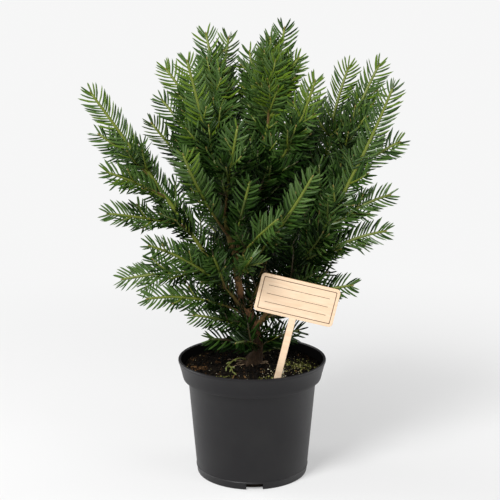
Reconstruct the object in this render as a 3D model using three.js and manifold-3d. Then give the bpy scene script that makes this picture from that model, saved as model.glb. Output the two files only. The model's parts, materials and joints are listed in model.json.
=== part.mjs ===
import * as THREE from 'three';
import { mergeVertices } from 'three/addons/utils/BufferGeometryUtils.js';
import Module from 'manifold-3d';

// A young English yew in a round nursery pot, with a blank wooden plant label.
// Millimetres, +Z up, origin at the centre of the pot's flat underside.

// Driving dimensions
const GAP = 0.3;                     // clearance between neighbouring solids

const POT_HEIGHT = 152;
const POT_RIM_RADIUS = 95;
const POT_SKIRT_RADIUS = 89;         // foot of the deep band under the rim
const POT_SKIRT_HEIGHT = 26;
const POT_WALL_RADIUS = 82.5;        // top of the plain wall, under the band
const POT_BASE_RADIUS = 71.5;
const POT_WALL = 2.2;
const POT_BEAD = 0.7;                // thin moulded line round the foot
const POT_BEAD_HEIGHT = 9;
const POT_SIDES = 36;
const DRAINS = { count: 3, width: 21, height: 8, depth: 10, turn: 2.5 };

const SOIL_HEIGHT = 141;             // soil level, from the underside of the pot
const SOIL_FALL = 2;                 // how much lower the soil lies at the wall
const SOIL_PAD = 24;                 // level patch round the stem

const LABEL = { width: 98, height: 48, thickness: 3, corner: 5, stick: 8.3, stickLength: 111.5 };
const LABEL_CENTRE = new THREE.Vector3(54.5, -66, 244);
const LABEL_TILT = THREE.MathUtils.degToRad(13.4);

const TRUNK_FOOT = new THREE.Vector3(1, 8, 0);
const TRUNK_RADIUS = 6.6;
const TRUNK_TIP_RADIUS = 2.4;
const FLARE = { radius: 7, height: 10, lobes: 3, lobeDepth: 0.14 };
const KINK = { side: 12, height: 75 }; // the trunk's foot leans this far to +X before it swings back
const TAPER = { trunk: 1.6, limb: 1.05 };

const LIMB_RADIUS = { least: 0.9, perLength: 0.0068 };
const NEEDLE = 33;                   // reach of the longest teeth of a spray
const TOOTH_PITCH = 25;
const SPRAY_CORE = 2.6;              // half width of a spray at its notches
const SPRAY_THICKNESS = 1.5;
const TIP_SPRAY = 85;                // length of the spray that ends each limb
const LAST_SHOOT = 0.70;             // place on a limb past which no side shoot springs
const SHORTEST_SPRAY = 18;
const SPRAY_SHARES = [1, 0.7, 0.5];  // sizes tried for a spray, until one fits
const TWIG_SIDES = 3;
const STEM_LAP = 10;                 // how far a stem runs into the spray that ends it
const SPRAY_TILT = 58;               // how far a spray's top turns from straight up to the outside
const CROWN_DEPTH = 30;              // sprays nearer the back than this face backwards
const CROWN_FACE = 60;               // every spray turns at least this much to the front or the back
const CROWN_TURN = 0.3;              // and this share of its place to the side
const VIEW_SLOPE = 0.2;              // the label stays clear to an eye above it by this slope
const STEEP = 0.9;                   // a tip that rises more than this carries a crossed pair of sprays
const SPACE_MARGIN = 0.8;            // how far a mass keeps inside its own space
const GOLDEN_ANGLE = 137.508;
const WORLD_UP = new THREE.Vector3(0, 0, 1);

// The limbs. Each springs from its parent's curve at `foot` (0 to 1) and ends at an
// azimuth and reach about the pot's axis and a height above the soil. `bow` bends it
// outwards, `bare` is where its foliage starts, and `shoots` side shoots of about
// `length` wind round it from the angle `turn`.
const LIMBS = [
  // name                 parent                foot azim reach height     bow  bare shoots length  turn
  ['trunk',              null,                   0, 194,   82,  392, -0.012, 0.62,   5,  62,   60],
  ['left_leader',        'trunk',             0.11, 180,  201,  352, -0.008, 0.22,   9,  58,  130],
  ['right_leader',       'trunk',             0.12, 350,  173,  361,  0.035, 0.24,   9,  56,   70],
  ['centre_leader',      'trunk',             0.28,   0,   40,  431,  0.005, 0.22,   8,  60,  140],
  ['back_left_leader',   'trunk',             0.14, 102,  138,  360,  0.050, 0.26,   7,  60,    0],
  ['back_right_leader',  'trunk',             0.17,  58,  142,  350,  0.050, 0.26,   7,  60,   90],
  ['front_left',         'trunk',             0.43, 226,  118,  286,  0.040, 0.22,   6,  44,   60],
  ['front_right',        'trunk',             0.30, 306,  122,  262,  0.040, 0.24,   6,  50,  150],
  ['upper_left',         'trunk',             0.60, 170,  112,  380, -0.070, 0.28,   4,  48,  140],
  ['mid_left',           'trunk',             0.50, 165,  121,  341, -0.060, 0.28,   4,  48,  100],
  ['top_left',           'trunk',             0.66, 146,   71,  424, -0.050, 0.10,   4,  48,   20],
  ['top_back',           'trunk',             0.64, 116,   66,  419,  0.030, 0.10,   4,  48,  300],
  ['top_mid',            'centre_leader',     0.55,  97,   34,  402,  0.000, 0.15,   3,  42,   60],
  ['upper_right',        'centre_leader',     0.33, 339,   82,  369,  0.050, 0.15,   6,  54,  320],
  ['inner_left',         'trunk',             0.50, 255,   64,  316,  0.040, 0.20,   6,  50,   40],
  ['inner_front',        'trunk',             0.38, 268,   62,  250,  0.020, 0.20,   4,  36,   80],
  ['left_side',          'left_leader',       0.60, 180,  194,  300, -0.040, 0.20,   4,  42,   20],
  ['inner_right',        'right_leader',      0.32,  24,  100,  330, -0.020, 0.15,   6,  56,  120],
  ['top_front',          'centre_leader',     0.62, 330,   25,  419,  0.010, 0.15,   4,  42,  200],
  ['top_right',          'centre_leader',     0.68, 350,   60,  394, -0.040, 0.20,   3,  38,  100],
  ['front_mid',          'trunk',             0.34, 287,  108,  210, -0.020, 0.24,   5,  44,   30],
  ['left_back',          'back_left_leader',  0.42, 154,  148,  309,  0.020, 0.15,   4,  48,  110],
  ['right_back',         'right_leader',      0.42,  14,  126,  383, -0.050, 0.15,   5,  52,   90],
  ['right_top',          'right_leader',      0.50,   7,  161,  386, -0.050, 0.20,   4,  48,  230],
  ['right_mid',          'right_leader',      0.36, 353,  176,  226, -0.090, 0.15,   4,  46,   20],
  ['right_side',         'right_leader',      0.64, 355,  186,  291, -0.070, 0.20,   2,  36,   90],
  ['right_low',          'right_leader',      0.20, 353,  172,  180, -0.095, 0.22,   5,  42,   60],
  ['right_foot',         'trunk',             0.12, 345,  134,  114, -0.080, 0.30,   5,  44,   40],
  ['left_high',          'left_leader',       0.56, 190,  184,  255, -0.030, 0.20,   4,  42,  200],
  ['left_mid',           'left_leader',       0.44, 184,  185,  200, -0.020, 0.20,   4,  44,  170],
  ['left_low',           'left_leader',       0.25, 180,  170,  112, -0.030, 0.22,   5,  44,  190],
  ['left_under',         'trunk',             0.16, 200,  143,   99, -0.080, 0.28,   4,  40,  170],
  ['left_foot',          'trunk',             0.10, 205,   86,   76, -0.050, 0.20,   3,  32,    0],
  ['back_low_left',      'back_left_leader',  0.18, 112,  160,  200,  0.000, 0.20,   6,  54,   20],
  ['back_low_right',     'back_right_leader', 0.18,  45,  164,  189,  0.000, 0.20,   6,  54,   50],
  ['back_mid',           'back_right_leader', 0.36,  92,  168,  262,  0.050, 0.15,   6,  54,   20],
  ['back_foot',          'trunk',             0.10,  85,  146,  120, -0.060, 0.26,   5,  44,   60],
  ['front_low',          'trunk',             0.28, 270,  114,  166, -0.020, 0.30,   4,  40,    0],
  ['front_mid_left',     'trunk',             0.15, 207,  144,  171, -0.080, 0.30,   3,  36,  200],
  ['front_low_left',     'front_mid_left',    0.31, 235,   84,  160, -0.020, 0.20,   3,  36,   40],
  ['base_left',          'trunk',             0.05, 200,   62,   40, -0.060, 0.00,   3,  34,    0],
  ['base_front',         'trunk',             0.06, 250,   66,   46, -0.050, 0.00,   3,  34,   40],
  ['base_right',         'trunk',             0.05,   5,   66,   46, -0.060, 0.00,   3,  34,   20],
  ['base_back',          'trunk',             0.06, 120,   70,   50, -0.050, 0.00,   3,  34,   10],
  ['back_high',          'trunk',             0.34,  75,   96,  372,  0.030, 0.30,   7,  54,   40],
  ['back_left_high',     'back_left_leader',  0.34, 130,  110,  350,  0.000, 0.15,   5,  50,   70],
  ['back_right_high',    'back_right_leader', 0.34,  38,  112,  338,  0.000, 0.15,   5,  50,   10],
];

const wasm = await Module();
wasm.setup();

// Solids: a closed three.js geometry becomes a manifold for joining and cutting.
function toSolid(geometry) {
  const bare = geometry.clone();
  bare.deleteAttribute('normal');
  bare.deleteAttribute('uv');
  const merged = mergeVertices(bare, 1e-4);
  const corners = merged.index.array;
  const faces = [];
  for (let i = 0; i < corners.length; i += 3) {
    const [a, b, c] = [corners[i], corners[i + 1], corners[i + 2]];
    if (a !== b && b !== c && c !== a) faces.push(a, b, c);
  }
  return new wasm.Manifold(new wasm.Mesh({
    numProp: 3,
    vertProperties: new Float32Array(merged.attributes.position.array),
    triVerts: new Uint32Array(faces),
  }));
}

function toGeometry(solid) {
  const { vertProperties, triVerts } = solid.getMesh();
  const geometry = new THREE.BufferGeometry();
  geometry.setAttribute('position', new THREE.BufferAttribute(new Float32Array(vertProperties), 3));
  geometry.setIndex(new THREE.BufferAttribute(new Uint32Array(triVerts), 1));
  geometry.computeVertexNormals();
  return geometry;
}

function largestBody(solid) {
  const bodies = solid.decompose();
  return bodies.reduce((best, body) => (body.volume() > best.volume() ? body : best));
}

function named(name, geometry, material) {
  const mesh = new THREE.Mesh(geometry, material);
  mesh.name = name;
  return mesh;
}

const material = {
  pot: new THREE.MeshStandardMaterial({ color: 0x2f2e30, roughness: 0.5, metalness: 0 }),
  soil: new THREE.MeshStandardMaterial({ color: 0x17130d, roughness: 1, metalness: 0 }),
  label: new THREE.MeshStandardMaterial({ color: 0xe4cbab, roughness: 0.7, metalness: 0 }),
  bark: new THREE.MeshStandardMaterial({ color: 0x5a3a28, roughness: 0.9, metalness: 0 }),
  needles: new THREE.MeshStandardMaterial({ color: 0x33521f, roughness: 0.6, metalness: 0 }),
};

// Pot: one thin-walled shell of revolution with drain notches cut at its foot.
const points = (pairs) => pairs.map(([x, y]) => new THREE.Vector2(x, y));
const lathe = (profile) => new THREE.LatheGeometry(profile, POT_SIDES).rotateX(Math.PI / 2);
const skirtFoot = POT_HEIGHT - POT_SKIRT_HEIGHT;
const wallRadius = (z) => POT_BASE_RADIUS + (POT_WALL_RADIUS - POT_BASE_RADIUS) * (z / skirtFoot);

function potInside(inset) {
  const shell = POT_WALL + inset;
  return [
    [wallRadius(0) - shell, shell],
    [wallRadius(skirtFoot) - shell, skirtFoot + shell],
    [POT_SKIRT_RADIUS - shell, skirtFoot + POT_WALL + shell],
    [POT_RIM_RADIUS - 1.6 - shell, POT_HEIGHT - 2.5],
  ];
}

function makePot() {
  const bead = POT_BEAD_HEIGHT;
  const outside = [
    [0, 0],
    [POT_BASE_RADIUS - 1.2, 0],
    [wallRadius(1.4), 1.4],
    [wallRadius(bead - 1), bead - 1],
    [wallRadius(bead) + POT_BEAD, bead],
    [wallRadius(bead + 1), bead + 1],
    [POT_WALL_RADIUS, skirtFoot],
    [POT_SKIRT_RADIUS - 1, skirtFoot],
    [POT_SKIRT_RADIUS, skirtFoot + 1.2],
    [POT_RIM_RADIUS - 0.8, POT_HEIGHT - 4],
    [POT_RIM_RADIUS, POT_HEIGHT - 2],
    [POT_RIM_RADIUS - 1.2, POT_HEIGHT],
    [POT_RIM_RADIUS - POT_WALL - 0.8, POT_HEIGHT],
  ];
  const inside = potInside(0).reverse();
  const shell = toSolid(lathe(points([...outside, ...inside, [0, POT_WALL]])));
  let cut = shell;
  for (let i = 0; i < DRAINS.count; i += 1) {
    const notch = new THREE.BoxGeometry(DRAINS.width, 2 * DRAINS.depth, 2 * DRAINS.height);
    notch.translate(0, -POT_BASE_RADIUS, 0);
    notch.rotateZ((i * 2 * Math.PI) / DRAINS.count + THREE.MathUtils.degToRad(DRAINS.turn));
    cut = cut.subtract(toSolid(notch));
  }
  return cut;
}

// Label: a rounded board on a square-ended stick, cut from one sheet of wood.
function labelOutline(grow) {
  const halfWidth = LABEL.width / 2 + grow;
  const halfHeight = LABEL.height / 2 + grow;
  const corner = LABEL.corner + grow;
  const stick = LABEL.stick / 2 + grow;
  const stickEnd = -LABEL.height / 2 - LABEL.stickLength - grow;
  const shape = new THREE.Shape();
  shape.moveTo(stick, stickEnd);
  shape.lineTo(stick, -halfHeight);
  shape.lineTo(halfWidth - corner, -halfHeight);
  shape.absarc(halfWidth - corner, -halfHeight + corner, corner, -Math.PI / 2, 0, false);
  shape.absarc(halfWidth - corner, halfHeight - corner, corner, 0, Math.PI / 2, false);
  shape.absarc(-halfWidth + corner, halfHeight - corner, corner, Math.PI / 2, Math.PI, false);
  shape.absarc(-halfWidth + corner, -halfHeight + corner, corner, Math.PI, 1.5 * Math.PI, false);
  shape.lineTo(-stick, -halfHeight);
  shape.lineTo(-stick, stickEnd);
  return shape;
}

function labelSlab(grow) {
  const depth = LABEL.thickness + 2 * grow;
  const slab = new THREE.ExtrudeGeometry(labelOutline(grow), { depth, bevelEnabled: false, curveSegments: 3 });
  return slab.translate(0, 0, -depth / 2).rotateX(Math.PI / 2);
}

const labelPlace = new THREE.Matrix4().makeRotationY(LABEL_TILT).setPosition(LABEL_CENTRE);

// Soil: fills the pot to just under the rim, level at the stem, pierced by the label's stick.
function makeSoil() {
  const [floor, step, ledge, rim] = potInside(GAP);
  const edge = SOIL_HEIGHT - SOIL_FALL;
  const slope = (rim[0] - ledge[0]) / (rim[1] - ledge[1]);
  const profile = points([
    [0, POT_WALL + GAP],
    floor,
    step,
    ledge,
    [ledge[0] + slope * (edge - ledge[1]), edge],
    [SOIL_PAD, SOIL_HEIGHT],
    [0, SOIL_HEIGHT],
  ]);
  return toSolid(lathe(profile)).subtract(toSolid(labelSlab(GAP).applyMatrix4(labelPlace)));
}

// Limb curves, in the plant's own frame: its origin is on the pot's axis at soil level.
function draw(seed, step) {
  const wave = Math.sin(seed * 12.9898 + step * 78.233) * 43758.5453;
  return wave - Math.floor(wave);
}

class TrunkCurve extends THREE.QuadraticBezierCurve3 {
  getPoint(t, target) {
    const place = super.getPoint(t, target);
    const rise = THREE.MathUtils.clamp(place.z / KINK.height, 0, 1);
    place.x += KINK.side * Math.sin(Math.PI * rise);
    return place;
  }
}

function tangentAt(curve, t) {
  const step = 0.001;
  return curve.getPoint(t + step).sub(curve.getPoint(t - step)).normalize();
}

const limbs = new Map();
LIMBS.forEach(([name, on, foot, azimuth, reach, height, bow, bare, shoots, length, turn], index) => {
  const angle = THREE.MathUtils.degToRad(azimuth);
  const parent = limbs.get(on);
  const start = parent ? parent.curve.getPoint(foot) : TRUNK_FOOT.clone();
  const end = new THREE.Vector3(reach * Math.cos(angle), reach * Math.sin(angle), height);
  const span = end.clone().sub(start);
  const across = new THREE.Vector3(Math.sin(angle), -Math.cos(angle), 0);
  const outward = span.clone().normalize().cross(across).normalize();
  const control = start.clone().add(end).multiplyScalar(0.5).addScaledVector(outward, 2 * bow * span.length());
  const curve = new (parent ? THREE.QuadraticBezierCurve3 : TrunkCurve)(start, control, end);
  const size = span.length();
  const footRadius = parent ? LIMB_RADIUS.least + LIMB_RADIUS.perLength * size : TRUNK_RADIUS;
  const fused = Boolean(parent) && foot > parent.bare;
  limbs.set(name, {
    name, parent, index, end, across, curve, size, footRadius, fused, bare, shoots, length, turn,
  });
});

function radiusAt(limb, t) {
  const tip = limb.parent ? LIMB_RADIUS.least : TRUNK_TIP_RADIUS * 0.4;
  const taper = limb.parent ? TAPER.limb : TAPER.trunk;
  return tip + (limb.footRadius - tip) * Math.max(0, 1 - t) ** taper;
}

function frameAt(limb, t) {
  const along = tangentAt(limb.curve, t);
  const rise = limb.across.clone().cross(along).normalize();
  const side = along.clone().cross(rise);
  return { at: limb.curve.getPoint(t), along, side, rise };
}

// A round limb between two places on its curve: a cylinder bent and tapered along it.
function bentLimb(limb, from, to, sides, steps, grow = 0) {
  const rod = new THREE.CylinderGeometry(1, 1, 1, sides, steps);
  const place = rod.attributes.position;
  for (let i = 0; i < place.count; i += 1) {
    const t = from + (to - from) * (place.getY(i) + 0.5);
    const { at, along, side } = frameAt(limb, t);
    const third = side.clone().cross(along);
    const angle = Math.atan2(place.getZ(i), place.getX(i));
    const hub = Math.hypot(place.getX(i), place.getZ(i)) < 0.5 ? 0 : 1;
    const lift = Math.max(at.z, 0);
    const flare = limb.parent ? 0 : FLARE.radius * Math.exp(-lift / FLARE.height);
    const lobe = 1 + (FLARE.lobeDepth * flare / FLARE.radius) * Math.cos(FLARE.lobes * angle);
    const radius = hub * ((radiusAt(limb, t) + flare) * lobe + grow / Math.cos(Math.PI / sides));
    at.addScaledVector(side, radius * Math.cos(angle)).addScaledVector(third, radius * Math.sin(angle));
    place.setXYZ(i, at.x, at.y, at.z);
  }
  return toSolid(rod);
}

function makeTrunk() {
  const trunk = limbs.get('trunk');
  const ground = new THREE.BoxGeometry(200, 200, 100).translate(0, 0, GAP - 50);
  return bentLimb(trunk, -0.04, trunk.bare, 9, 14).subtract(toSolid(ground));
}

// Each mass keeps to the space nearer to its own stems than to any other limb.
const massOf = (limb) => (limb.fused ? massOf(limb.parent) : limb);
const limbPlaces = [];
for (const limb of limbs.values()) {
  const steps = Math.ceil(limb.size / 8);
  for (let i = 0; i <= steps; i += 1) {
    const t = i / steps;
    const owner = limb.fused || t >= limb.bare ? massOf(limb) : null;
    limbPlaces.push({ at: limb.curve.getPoint(t), owner });
  }
}

const labelInPlant = labelPlace.clone().premultiply(new THREE.Matrix4().makeTranslation(0, 0, -SOIL_HEIGHT));
const plantInLabel = labelInPlant.clone().invert();
function hidesLabel(place) {
  const inFront = Math.min(place.y - LABEL_CENTRE.y, 0);
  const local = place.clone().addScaledVector(WORLD_UP, inFront * VIEW_SLOPE).applyMatrix4(plantInLabel);
  const besideBoard = Math.abs(local.x) < LABEL.width / 2 + 3 && Math.abs(local.z) < LABEL.height / 2 + 3;
  const besideStick = Math.abs(local.x) < LABEL.stick / 2 + 3 && local.z < 0;
  return local.y < LABEL.thickness / 2 + 3 && (besideBoard || besideStick);
}

function inSpace(place, mass) {
  if (hidesLabel(place) || place.z < 4) return false;
  let own = Infinity;
  let other = Infinity;
  for (const { at, owner } of limbPlaces) {
    const distance = at.distanceTo(place);
    if (owner === mass) own = Math.min(own, distance);
    else other = Math.min(other, distance);
  }
  return own + SPACE_MARGIN < other;
}

// A spray: a flat blade with a staggered row of forward-pointing teeth down each side.
// Every tooth is as long as the mass's own space allows.
function sprayBlade({ root, along, side, length }, mass) {
  const normal = along.clone().cross(side).normalize();
  const leafy = length - NEEDLE * 0.45;
  const teeth = Math.max(2, Math.round(leafy / TOOTH_PITCH));
  const pitch = leafy / teeth;
  const edge = [];
  for (const way of [1, -1]) {
    const row = [];
    for (let j = 0; j < teeth; j += 1) {
      const notch = (j + (way > 0 ? 0.1 : 0.5)) * pitch;
      const base = notch + pitch * 0.45;
      const part = Math.min(1, base / length);
      const lean = THREE.MathUtils.degToRad(62 - 22 * part);
      const full = NEEDLE * (0.5 + 0.5 * Math.sin(Math.PI * Math.min(1, 0.2 + 0.72 * part)));
      const tip = (share) => [
        base + full * share * Math.cos(lean),
        way * Math.max(SPRAY_CORE, full * share * Math.sin(lean)),
      ];
      const reaches = (share) => {
        const [x, y] = tip(share);
        return inSpace(root.clone().addScaledVector(along, x).addScaledVector(side, y), mass);
      };
      const share = [1, 0.8, 0.6, 0.45, 0.3].find(reaches) ?? 0.15;
      row.push([notch, way * SPRAY_CORE], tip(share));
    }
    edge.push(row);
  }
  const [right, left] = edge;
  const shape = new THREE.Shape(points([
    [-3, 0],
    ...left,
    [length, 0],
    ...right.reverse(),
  ]));
  const blade = new THREE.ExtrudeGeometry(shape, { depth: SPRAY_THICKNESS, bevelEnabled: false });
  blade.translate(0, 0, -SPRAY_THICKNESS / 2);
  const place = new THREE.Matrix4().makeBasis(along, side, normal).setPosition(root);
  return blade.applyMatrix4(place);
}

// The spray that ends a limb: a share of its full length, always up to the limb's tip.
function tipSpray(limb, share) {
  const from = 1 - share * Math.min(0.6, TIP_SPRAY / limb.size);
  const root = limb.curve.getPoint(from);
  const along = limb.end.clone().sub(root);
  const length = along.length();
  along.normalize();
  return { root, along, side: spraySide(along, root, limb.across), length, from };
}

// The sprays of a limb's side shoots.
function sideSprays(limb) {
  const sprays = [];
  for (let k = 0; k < limb.shoots; k += 1) {
    const step = (k + 0.25 + 0.5 * draw(limb.index + 1, k)) / limb.shoots;
    const t = limb.bare + (LAST_SHOOT - limb.bare) * step;
    const { at, along, side, rise } = frameAt(limb, t);
    const turn = limb.turn + GOLDEN_ANGLE * k + 20 * (draw(limb.index + 1, k + 50) - 0.5);
    const roll = THREE.MathUtils.degToRad(turn);
    const lean = THREE.MathUtils.degToRad(46 - 12 * t + 10 * (draw(limb.index + 1, k + 100) - 0.5));
    const shoot = along.clone().multiplyScalar(Math.cos(lean))
      .addScaledVector(side, Math.cos(roll) * Math.sin(lean))
      .addScaledVector(rise, Math.sin(roll) * Math.sin(lean))
      .addScaledVector(WORLD_UP, 0.07)
      .normalize();
    const share = 1 - 0.5 * (t - limb.bare) / (1 - limb.bare);
    const reach = limb.length * share * (0.85 + 0.3 * draw(limb.index + 1, k + 150));
    sprays.push({ root: at, along: shoot, side: spraySide(shoot, at, limb.across), length: reach });
  }
  return sprays;
}

// The direction across a spray, whose top faces up and to the outside of the crown.
function spraySide(along, root, spare) {
  const tilt = THREE.MathUtils.degToRad(SPRAY_TILT);
  const depth = root.y - CROWN_DEPTH;
  const forward = depth + (depth < 0 ? -CROWN_FACE : CROWN_FACE);
  const outside = new THREE.Vector3(CROWN_TURN * root.x, forward, 0).normalize();
  const top = WORLD_UP.clone().multiplyScalar(Math.cos(tilt)).addScaledVector(outside, Math.sin(tilt));
  const side = along.clone().cross(top);
  return side.length() > 0.1 ? side.normalize() : spare.clone();
}

// How far along a spray its own line stays in the mass's space.
function clearLength({ root, along, length }, mass) {
  const steps = Math.ceil(length / 5);
  for (let i = 1; i <= steps; i += 1) {
    const place = root.clone().addScaledVector(along, (length * i) / steps);
    if (!inSpace(place, mass)) return (length * (i - 1)) / steps;
  }
  return length;
}

// A mass: the limb's leafy stem with the limbs that spring from it, and all their sprays,
// joined into one body. The tips come first, each with a second spray across it where it is
// steep. A spray that would touch a limb, a mass or another spray gets shorter or is left out.
function makeMass(mass, guards, neighbours) {
  const members = [...limbs.values()].filter((limb) => massOf(limb) === mass);
  const stems = [];
  const blades = [];
  const fits = (spray, others) => {
    const length = Math.min(spray.length, clearLength(spray, mass));
    if (length < SHORTEST_SPRAY) return null;
    const blade = toSolid(sprayBlade({ ...spray, length }, mass));
    return others.some((solid) => solid.intersect(blade).volume() > 0) ? null : blade;
  };
  for (const limb of members) {
    let end = 0.97;
    for (const share of SPRAY_SHARES) {
      const tip = tipSpray(limb, share);
      const blade = fits(tip, [...guards, ...neighbours, ...blades]);
      if (!blade) continue;
      const across = tip.along.z > STEEP && fits(
        { ...tip, side: tip.along.clone().cross(tip.side) },
        [...guards, ...neighbours, ...blades],
      );
      blades.push(blade);
      if (across) blades.push(across);
      end = tip.from + STEM_LAP / limb.size;
      break;
    }
    const from = limb === mass ? mass.bare + GAP / mass.size : 0;
    stems.push(bentLimb(limb, from, end, TWIG_SIDES, Math.ceil((limb.size * (end - from)) / 70)));
  }
  for (const spray of members.flatMap(sideSprays)) {
    for (const share of SPRAY_SHARES) {
      const blade = fits({ ...spray, length: spray.length * share }, [...guards, ...neighbours, ...blades]);
      if (!blade) continue;
      blades.push(blade);
      break;
    }
  }
  let stem = stems.reduce((whole, piece) => whole.add(piece));
  for (const guard of guards) stem = stem.subtract(guard);
  return largestBody([stem, ...blades].reduce((whole, piece) => whole.add(piece))).simplify(0.02);
}

const plant = new THREE.Group();
plant.position.z = SOIL_HEIGHT;
const part = new THREE.Group();
part.add(named('pot', toGeometry(makePot()), material.pot));
part.add(named('soil', toGeometry(makeSoil()), material.soil));

const label = named('plant_label', toGeometry(toSolid(labelSlab(0))), material.label);
label.position.copy(LABEL_CENTRE);
label.rotation.y = LABEL_TILT;
part.add(label);

const trunk = makeTrunk();
plant.add(named('trunk', toGeometry(trunk), material.bark));
const guards = [bentLimb(limbs.get('trunk'), -0.04, limbs.get('trunk').bare, 9, 14, GAP)];
for (const limb of limbs.values()) {
  if (!limb.parent || limb.fused || limb.bare === 0) continue;
  let bough = bentLimb(limb, 0, limb.bare, 5, Math.ceil((limb.size * limb.bare) / 30));
  for (const guard of guards) bough = bough.subtract(guard);
  plant.add(named(`${limb.name}_bough`, toGeometry(largestBody(bough)), material.bark));
  guards.push(bentLimb(limb, 0, limb.bare, 5, Math.ceil((limb.size * limb.bare) / 30), GAP));
}
const masses = [];
for (const limb of limbs.values()) {
  if (limb.fused) continue;
  masses.push(makeMass(limb, guards, masses));
  plant.add(named(`${limb.name}_foliage`, toGeometry(masses.at(-1)), material.needles));
}
part.add(plant);

export default part;
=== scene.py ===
import json
import math

import bmesh
import bpy
import numpy as np
from mathutils import Matrix, Vector, noise

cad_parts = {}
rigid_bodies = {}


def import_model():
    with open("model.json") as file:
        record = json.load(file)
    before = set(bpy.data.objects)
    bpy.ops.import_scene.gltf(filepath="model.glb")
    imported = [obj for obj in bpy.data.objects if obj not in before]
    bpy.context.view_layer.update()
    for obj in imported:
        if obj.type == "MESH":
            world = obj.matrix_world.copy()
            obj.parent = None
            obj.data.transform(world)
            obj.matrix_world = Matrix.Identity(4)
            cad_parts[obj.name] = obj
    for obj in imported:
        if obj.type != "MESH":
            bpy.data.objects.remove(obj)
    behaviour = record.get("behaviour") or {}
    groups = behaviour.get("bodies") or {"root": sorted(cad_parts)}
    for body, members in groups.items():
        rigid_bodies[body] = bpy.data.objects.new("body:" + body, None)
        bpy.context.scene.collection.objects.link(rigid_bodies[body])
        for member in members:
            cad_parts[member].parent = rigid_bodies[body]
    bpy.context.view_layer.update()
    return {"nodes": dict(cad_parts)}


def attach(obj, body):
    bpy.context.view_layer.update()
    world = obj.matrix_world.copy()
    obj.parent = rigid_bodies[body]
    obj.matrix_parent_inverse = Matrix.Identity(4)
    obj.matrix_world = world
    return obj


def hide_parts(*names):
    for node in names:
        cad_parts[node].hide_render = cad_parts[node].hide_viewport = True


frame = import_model()

MM = 0.001

# ---- Pot --------------------------------------------------------------------------------
# A three litre nursery pot, injection moulded in dark grey polypropylene with a deep
# band under the rim. It is raised ring by ring from its floor, and its foot has three
# drain notches, cut right through the corner of wall and floor.

POT_HEIGHT = 152 * MM
POT_RIM_RADIUS = 95 * MM
POT_SKIRT_RADIUS = 89 * MM
POT_SKIRT_FOOT = 126 * MM
POT_WALL_RADIUS = 82.5 * MM
POT_BASE_RADIUS = 71.5 * MM
POT_WALL = 2.2 * MM
POT_SIDES = 128
DRAINS = 3
DRAIN_WIDTH = 21 * MM
DRAIN_HEIGHT = 8 * MM
DRAIN_DEPTH = 10 * MM
DRAIN_TURN = math.radians(2.5)


def wall_radius(height):
    """Outer radius of the tapered wall at a height."""
    return POT_BASE_RADIUS + (POT_WALL_RADIUS - POT_BASE_RADIUS) * height / POT_SKIRT_FOOT


# The wall's outline in (radius, height) pairs, up its outside and down its inside.
POT_OUTSIDE = [
    (wall_radius(0) - 1.4 * MM, 0),
    (wall_radius(0) - 0.4 * MM, 0.5 * MM),
    (wall_radius(0), 1.6 * MM),
    (wall_radius(8 * MM), 8 * MM),
    (wall_radius(8 * MM) + 0.5 * MM, 8.6 * MM),
    (wall_radius(10 * MM) + 0.5 * MM, 9.6 * MM),
    (wall_radius(10 * MM), 10.2 * MM),
    (wall_radius(60 * MM), 60 * MM),
    (POT_WALL_RADIUS - 0.3 * MM, POT_SKIRT_FOOT - 2 * MM),
    (POT_WALL_RADIUS + 0.8 * MM, POT_SKIRT_FOOT),
    (POT_SKIRT_RADIUS - 1.4 * MM, POT_SKIRT_FOOT),
    (POT_SKIRT_RADIUS - 0.4 * MM, POT_SKIRT_FOOT + 0.5 * MM),
    (POT_SKIRT_RADIUS, POT_SKIRT_FOOT + 1.6 * MM),
    (POT_SKIRT_RADIUS + 0.8 * MM, POT_SKIRT_FOOT + 4.4 * MM),
    (POT_SKIRT_RADIUS + 0.7 * MM, POT_SKIRT_FOOT + 5 * MM),
    (POT_RIM_RADIUS - 0.9 * MM, POT_HEIGHT - 4.5 * MM),
    (POT_RIM_RADIUS - 0.2 * MM, POT_HEIGHT - 3.4 * MM),
    (POT_RIM_RADIUS, POT_HEIGHT - 1.8 * MM),
    (POT_RIM_RADIUS - 0.5 * MM, POT_HEIGHT - 0.5 * MM),
    (POT_RIM_RADIUS - 1.5 * MM, POT_HEIGHT),
]
POT_INSIDE = [
    (POT_RIM_RADIUS - 2.7 * MM, POT_HEIGHT - 0.1 * MM),
    (POT_RIM_RADIUS - 3.6 * MM, POT_HEIGHT - 1.2 * MM),
    (POT_RIM_RADIUS - 3.9 * MM, POT_HEIGHT - 3 * MM),
    (POT_SKIRT_RADIUS - POT_WALL, POT_SKIRT_FOOT + 2 * POT_WALL),
    (POT_WALL_RADIUS - POT_WALL, POT_SKIRT_FOOT + POT_WALL),
    (wall_radius(2 * POT_WALL) - POT_WALL, 2 * POT_WALL),
    (wall_radius(0) - 2 * POT_WALL, POT_WALL),
]


def start_piece(name):
    """Renames the primitive that was just added and opens it for editing."""
    piece = bpy.context.object
    piece.name = name
    piece.data.name = name
    bpy.ops.object.mode_set(mode="EDIT")
    return piece


def raise_rings(radius, height, rings):
    """Extrudes the selected ring through a list of (radius, height) pairs."""
    for next_radius, next_height in rings:
        bpy.ops.mesh.extrude_edges_move(
            TRANSFORM_OT_translate={"value": (0, 0, next_height - height)}
        )
        share = next_radius / radius
        bpy.ops.transform.resize(value=(share, share, 1), center_override=(0, 0, next_height))
        radius, height = next_radius, next_height


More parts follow.
